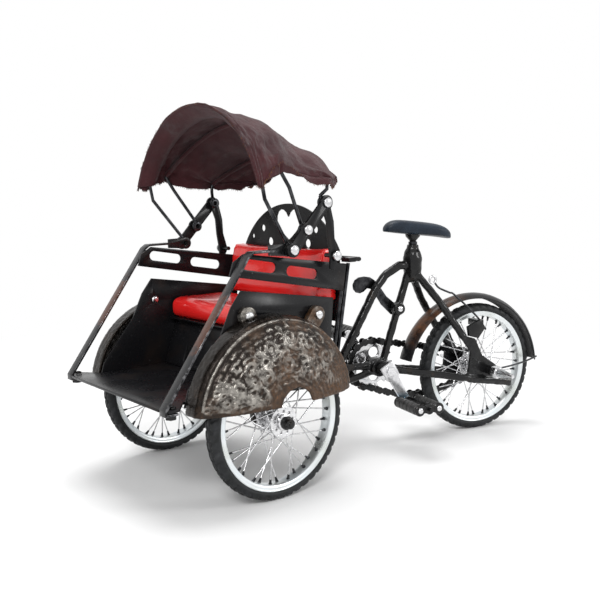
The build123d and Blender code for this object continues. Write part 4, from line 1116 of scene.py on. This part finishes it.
# Brake rod: a dark bent wire hung from a bright ring.
BRAKE_PATH = [(15.0, 124.5, 101.5), (14.4, 128.2, 98.0), (14.0, 136.0, 94.6), (14.6, 140.0, 92.6),
              (15.6, 156.0, 78.0), (15.8, 163.0, 69.0)]
brake_wire = Soup().tube(BRAKE_PATH, 0.62, 10, 6)
brake_wire.finish("brake_wire", BLUED, 50, "rear_frame", place=REAR)
ring = Soup().lathe(circle((0, 2.2), 0.75, 12), (15.0, 123.0, 103.6), (1, 0, 0), 32, closed=True)
ring.finish("brake_ring", STEEL, 60, "rear_frame", ["brake_rod"], REAR)
lever_bolt = Soup().dome((3.2, 106.6, 85.0), (1, 0, 0), 1.9, 1.3, 20, 0.5)
lever_bolt.finish("lever_bolt", STEEL, 30, "rear_frame", place=REAR)


# Relief of the front fenders: scrolls and ribs laid on a domed shell that grows out from a rounded rim.
SHELL_Z = 47.0
SHELL_RADIUS = 50.0
SHELL_SHOULDER = 8.0
SHELL_BULGE = 22.0
SHELL_X = 49.0


def on_shell(side, y, z, lift):
    """The shell's point that is seen from the side at y, z, moved outward by lift."""
    turn = atan2(z - SHELL_Z, y)
    slope = acos(min(hypot(y, z - SHELL_Z) / SHELL_RADIUS, 0.999))
    radial = (SHELL_RADIUS + lift) * cos(slope)
    bulge = SHELL_SHOULDER + (SHELL_BULGE - SHELL_SHOULDER + lift) * sin(slope)
    return Vector((side * (SHELL_X + bulge), *polar((0, SHELL_Z), radial, turn)))


def scroll(centre, radius, turns, start, way):
    """Points of a spiral, from outside in."""
    count = int(14 * turns) + 6
    return [polar(centre, radius * (1 - 0.86 * share), start + way * share * turns * 2 * pi)
            for share in (k / (count - 1) for k in range(count))]


SCROLLS = [      # y, z, radius, turns, start of the spiral, its way round
    (-30, 64, 5.2, 1.5, 2.6, 1), (-21, 73, 5.4, 1.6, 0.4, -1), (-10, 82, 5.0, 1.5, 3.4, 1),
    (3, 86, 4.8, 1.6, 0.2, -1), (15, 81, 5.2, 1.5, 2.8, 1), (26, 73, 5.0, 1.6, 0.6, -1),
    (-14, 68, 5.6, 1.6, 4.4, -1), (-1, 74, 5.8, 1.6, 1.2, 1), (12, 69, 5.0, 1.5, 3.9, -1),
]
RIM_LINE = 47.6            # radius of the raised line inside the rim
RING_END = 0.12            # angle at which the rings of strokes stop above the foot


def relief_lines():
    """(points, radius) of every raised line, seen from the side as y, z."""
    lines = []
    rng = random.Random(21)
    for y, z, r, turns, start, way in SCROLLS:
        middle, bend, end = (y, z), start + 0.5 * way, start + 0.2 * way
        lines.append((scroll(middle, r, turns, start, way), 0.95))
        lines.append(([polar(middle, r, start), polar(middle, 1.5 * r, bend),
                       (y + 2.1 * r * cos(end), z + 1.7 * r * sin(end))], 0.8))
        for _ in range(3):
            a = rng.uniform(0, 2 * pi)
            base = polar(middle, 1.15 * r, a)
            lines.append(([base, polar(base, 2.2, a + 0.5), polar(base, 3.6, a + 0.1)], 0.75))
    for k in range(9):         # long wavy ribs, low down in front
        z = 54.4 + 1.75 * k
        start_y = -46.5 + 0.9 * k
        end_y = -12 - 1.2 * k + rng.uniform(-3, 3)
        steps = 14
        lines.append(([(start_y + (end_y - start_y) * i / steps, z + 0.8 * sin(i * 0.7 + k))
                       for i in range(steps + 1)], 0.62))
    for ring in range(11):     # rings of short strokes
        radius = 17.0 + 2.75 * ring
        angle = RING_END + 0.05 * (ring % 3)
        while angle < pi - RING_END:
            span = rng.uniform(3.5, 8.0) / radius
            stroke = [polar((0, SHELL_Z + 0.5 * sin(2.2 * i + ring)), radius, angle + span * i / 4)
                      for i in range(5)]
            lines.append((stroke, rng.uniform(0.42, 0.62)))
            angle += span + rng.uniform(1.2, 2.6) / radius
    for k in range(12):        # upright ribs towards the back
        y, top, low = 12 + 2.2 * k, 76 - 1.5 * k, 64 - 0.8 * k
        lines.append(([(y, low), (y + 0.8, (low + top) / 2), (y + 0.2, top)], 0.7))
    lines.append((arc((0, SHELL_Z), RIM_LINE, pi * 0.04, pi * 0.96, 60), 0.8))
    return lines


def clear_of_foot(point):
    y, z = point
    in_shell = hypot(y, z - SHELL_Z) < 48.6
    return z > 53.2 and in_shell and hypot(y - 4, z - 50) > 11.5


def shell_lift(at):
    """How far a point of the fender stands above the plain shell, from 0 to 1; it sets the painted highlight
    of the raised parts.
    """
    x, y, z = abs(at[0]) - SHELL_X - SHELL_SHOULDER, at[1], at[2] - SHELL_Z
    if x < 0:
        above = hypot(y, z) - SHELL_RADIUS
    else:
        bulge = SHELL_BULGE - SHELL_SHOULDER
        size = sqrt((y * y + z * z) / SHELL_RADIUS ** 2 + (x / bulge) ** 2)
        above = (size - 1) * sqrt(x * x + y * y + z * z) / max(size, 1e-6)
    return min(max(above / 0.9, 0.0), 1.0)


RELIEF_LINES = relief_lines()
for side, side_name in SIDES:
    raised = Soup()
    for points, radius in RELIEF_LINES:
        run = []
        for point in points + [None]:
            if point is not None and clear_of_foot(point):
                run.append(on_shell(side, *point, lift=0.1))
                continue
            if len(run) > 2:
                raised.tube(run, radius, 8, 2)
            run = []
    parts = [NODES["cast_fender_" + side_name].data, loose_mesh(raised, RELIEF)]
    shell = cast("cast_relief_" + side_name, parts, RELIEF, 0.5, 0.22, 2.4, 2, shell_lift)
    finish_piece(shell, "cabin", ["cast_fender_" + side_name])


# ---------------------------------------------------------------- fasteners
LUGS = [(-11.8, 97.0), (34.0, 93.0)]    # y, z of the bolts that hold the front fenders
HEAD_X, LUG_X, RIVET_X = 57.2, 51.7, 46.5    # where the heads begin
for side, side_name in SIDES:
    heads, washers, lug_heads, inner_nuts = Soup(), Soup(), Soup(), Soup()
    out = (side, 0, 0)
    for centre in (BOLT_1, BOLT_2, BOLT_3, BOLT_4):
        heads.dome((side * HEAD_X, *centre), out, 2.7, 1.8, 24, 0.7)
    for k in range(4):
        washers.washer((side * (52.3 + 0.95 * k), *BOLT_1), out, 1.3, 3.2 + 0.25 * (k % 2), 0.9)
    for centre in (BOLT_2, BOLT_3):
        washers.washer((side * 54.7, *centre), out, 1.3, 3.0, 0.8)
    for centre in (BOLT_1, BOLT_4):
        washers.rod((side * 47.8, *centre), (side * 57, *centre), 1.25, 14)
    washers.washer((side * 55.4, *BOLT_4), out, 1.2, 2.4, 1.6, 20)
    for centre in LUGS:
        lug_heads.dome((side * LUG_X, *centre), out, 2.5, 2.0, 24, 0.9)
        inner_nuts.dome((side * RIVET_X, *centre), (-side, 0, 0), 2.2, 1.2, 20, 0.5)
    heads.finish("hood_bolt_heads_" + side_name, STEEL, 30, "cabin", ["hood_bolts_" + side_name])
    washers.finish("hood_washers_" + side_name, IRON, 30, "cabin")
    lug_heads.finish("fender_bolt_heads_" + side_name, STEEL, 30, "cabin", ["fender_bolts_" + side_name])
    inner_nuts.finish("panel_rivets_" + side_name, STEEL, 30, "cabin")

foot_nuts = Soup()
for side in (-1, 1):
    foot_nuts.hexagon((side * 54, -60.2, 54.9), (0, 0, -1), 5.0, 2.0, 0.3)
    foot_nuts.dome((side * 54, -59.4, 58.2), (0, 0, 1), 1.9, 1.2, 16, 0.3)
foot_nuts.finish("strap_foot_nuts", IRON, 30, "cabin", ["floor_bolts"])

# ---------------------------------------------------------------- camera, light, floor
CAMERA_AT = (0.389957, -0.247053, 0.158102)
YAW, PITCH, ROLL = radians(51.558), radians(7.376), radians(-1.189)
LENS = 49.12

FLOOR = 4000.0
corners = [(x * FLOOR, y * FLOOR, 0) for x, y in ((-1, -1), (1, -1), (1, 1), (-1, 1))]
floor_mesh = mesh_piece("floor", corners, [(0, 1, 2, 3)], pale_floor(), 30)

back = Vector((sin(YAW) * cos(PITCH), -cos(YAW) * cos(PITCH), sin(PITCH)))
right = (-back).cross(Vector((0, 0, 1))).normalized()
up = right.cross(-back)
rolled_right = right * cos(ROLL) + up * sin(ROLL)
rolled_up = up * cos(ROLL) - right * sin(ROLL)
camera_data = bpy.data.cameras.new("camera")
camera_data.lens = LENS
camera_data.sensor_width = 36.0
camera_data.clip_start = 0.01
camera = new_object("camera", camera_data)
axes = Matrix((rolled_right, rolled_up, back)).transposed().to_4x4()
camera.matrix_world = Matrix.Translation(CAMERA_AT) @ axes
SCENE.camera = camera


def area_light(name, at, target, size, power):
    lamp = bpy.data.lights.new(name, "AREA")
    lamp.shape = "DISK"
    lamp.size = size
    lamp.energy = power
    obj = new_object(name, lamp)
    obj.location = at
    obj.rotation_euler = (Vector(target) - Vector(at)).to_track_quat("-Z", "Y").to_euler()


area_light("key", (0.9, -0.9, 1.0), (0, 0.06, 0.08), 0.5, 11.0)
area_light("top", (-0.2, 0.1, 1.2), (0, 0.06, 0.08), 0.8, 9.0)
area_light("side", (1.0, 0.8, 0.5), (0, 0.08, 0.08), 0.35, 4.0)

WORLD_LIGHT = 0.55         # strength of the white world for rays that carry light
world = bpy.data.worlds.new("studio")
world.use_nodes = True
SCENE.world = world
studio = Nodes(world.node_tree)
background = studio.tree.nodes["Background"]
background.inputs["Color"].default_value = (1, 1, 1, 1)
studio.fill(background.inputs["Strength"], studio.level(studio.seen(), 0.0, 1.0, WORLD_LIGHT, 1.0))
SCENE.view_settings.view_transform = "Standard"
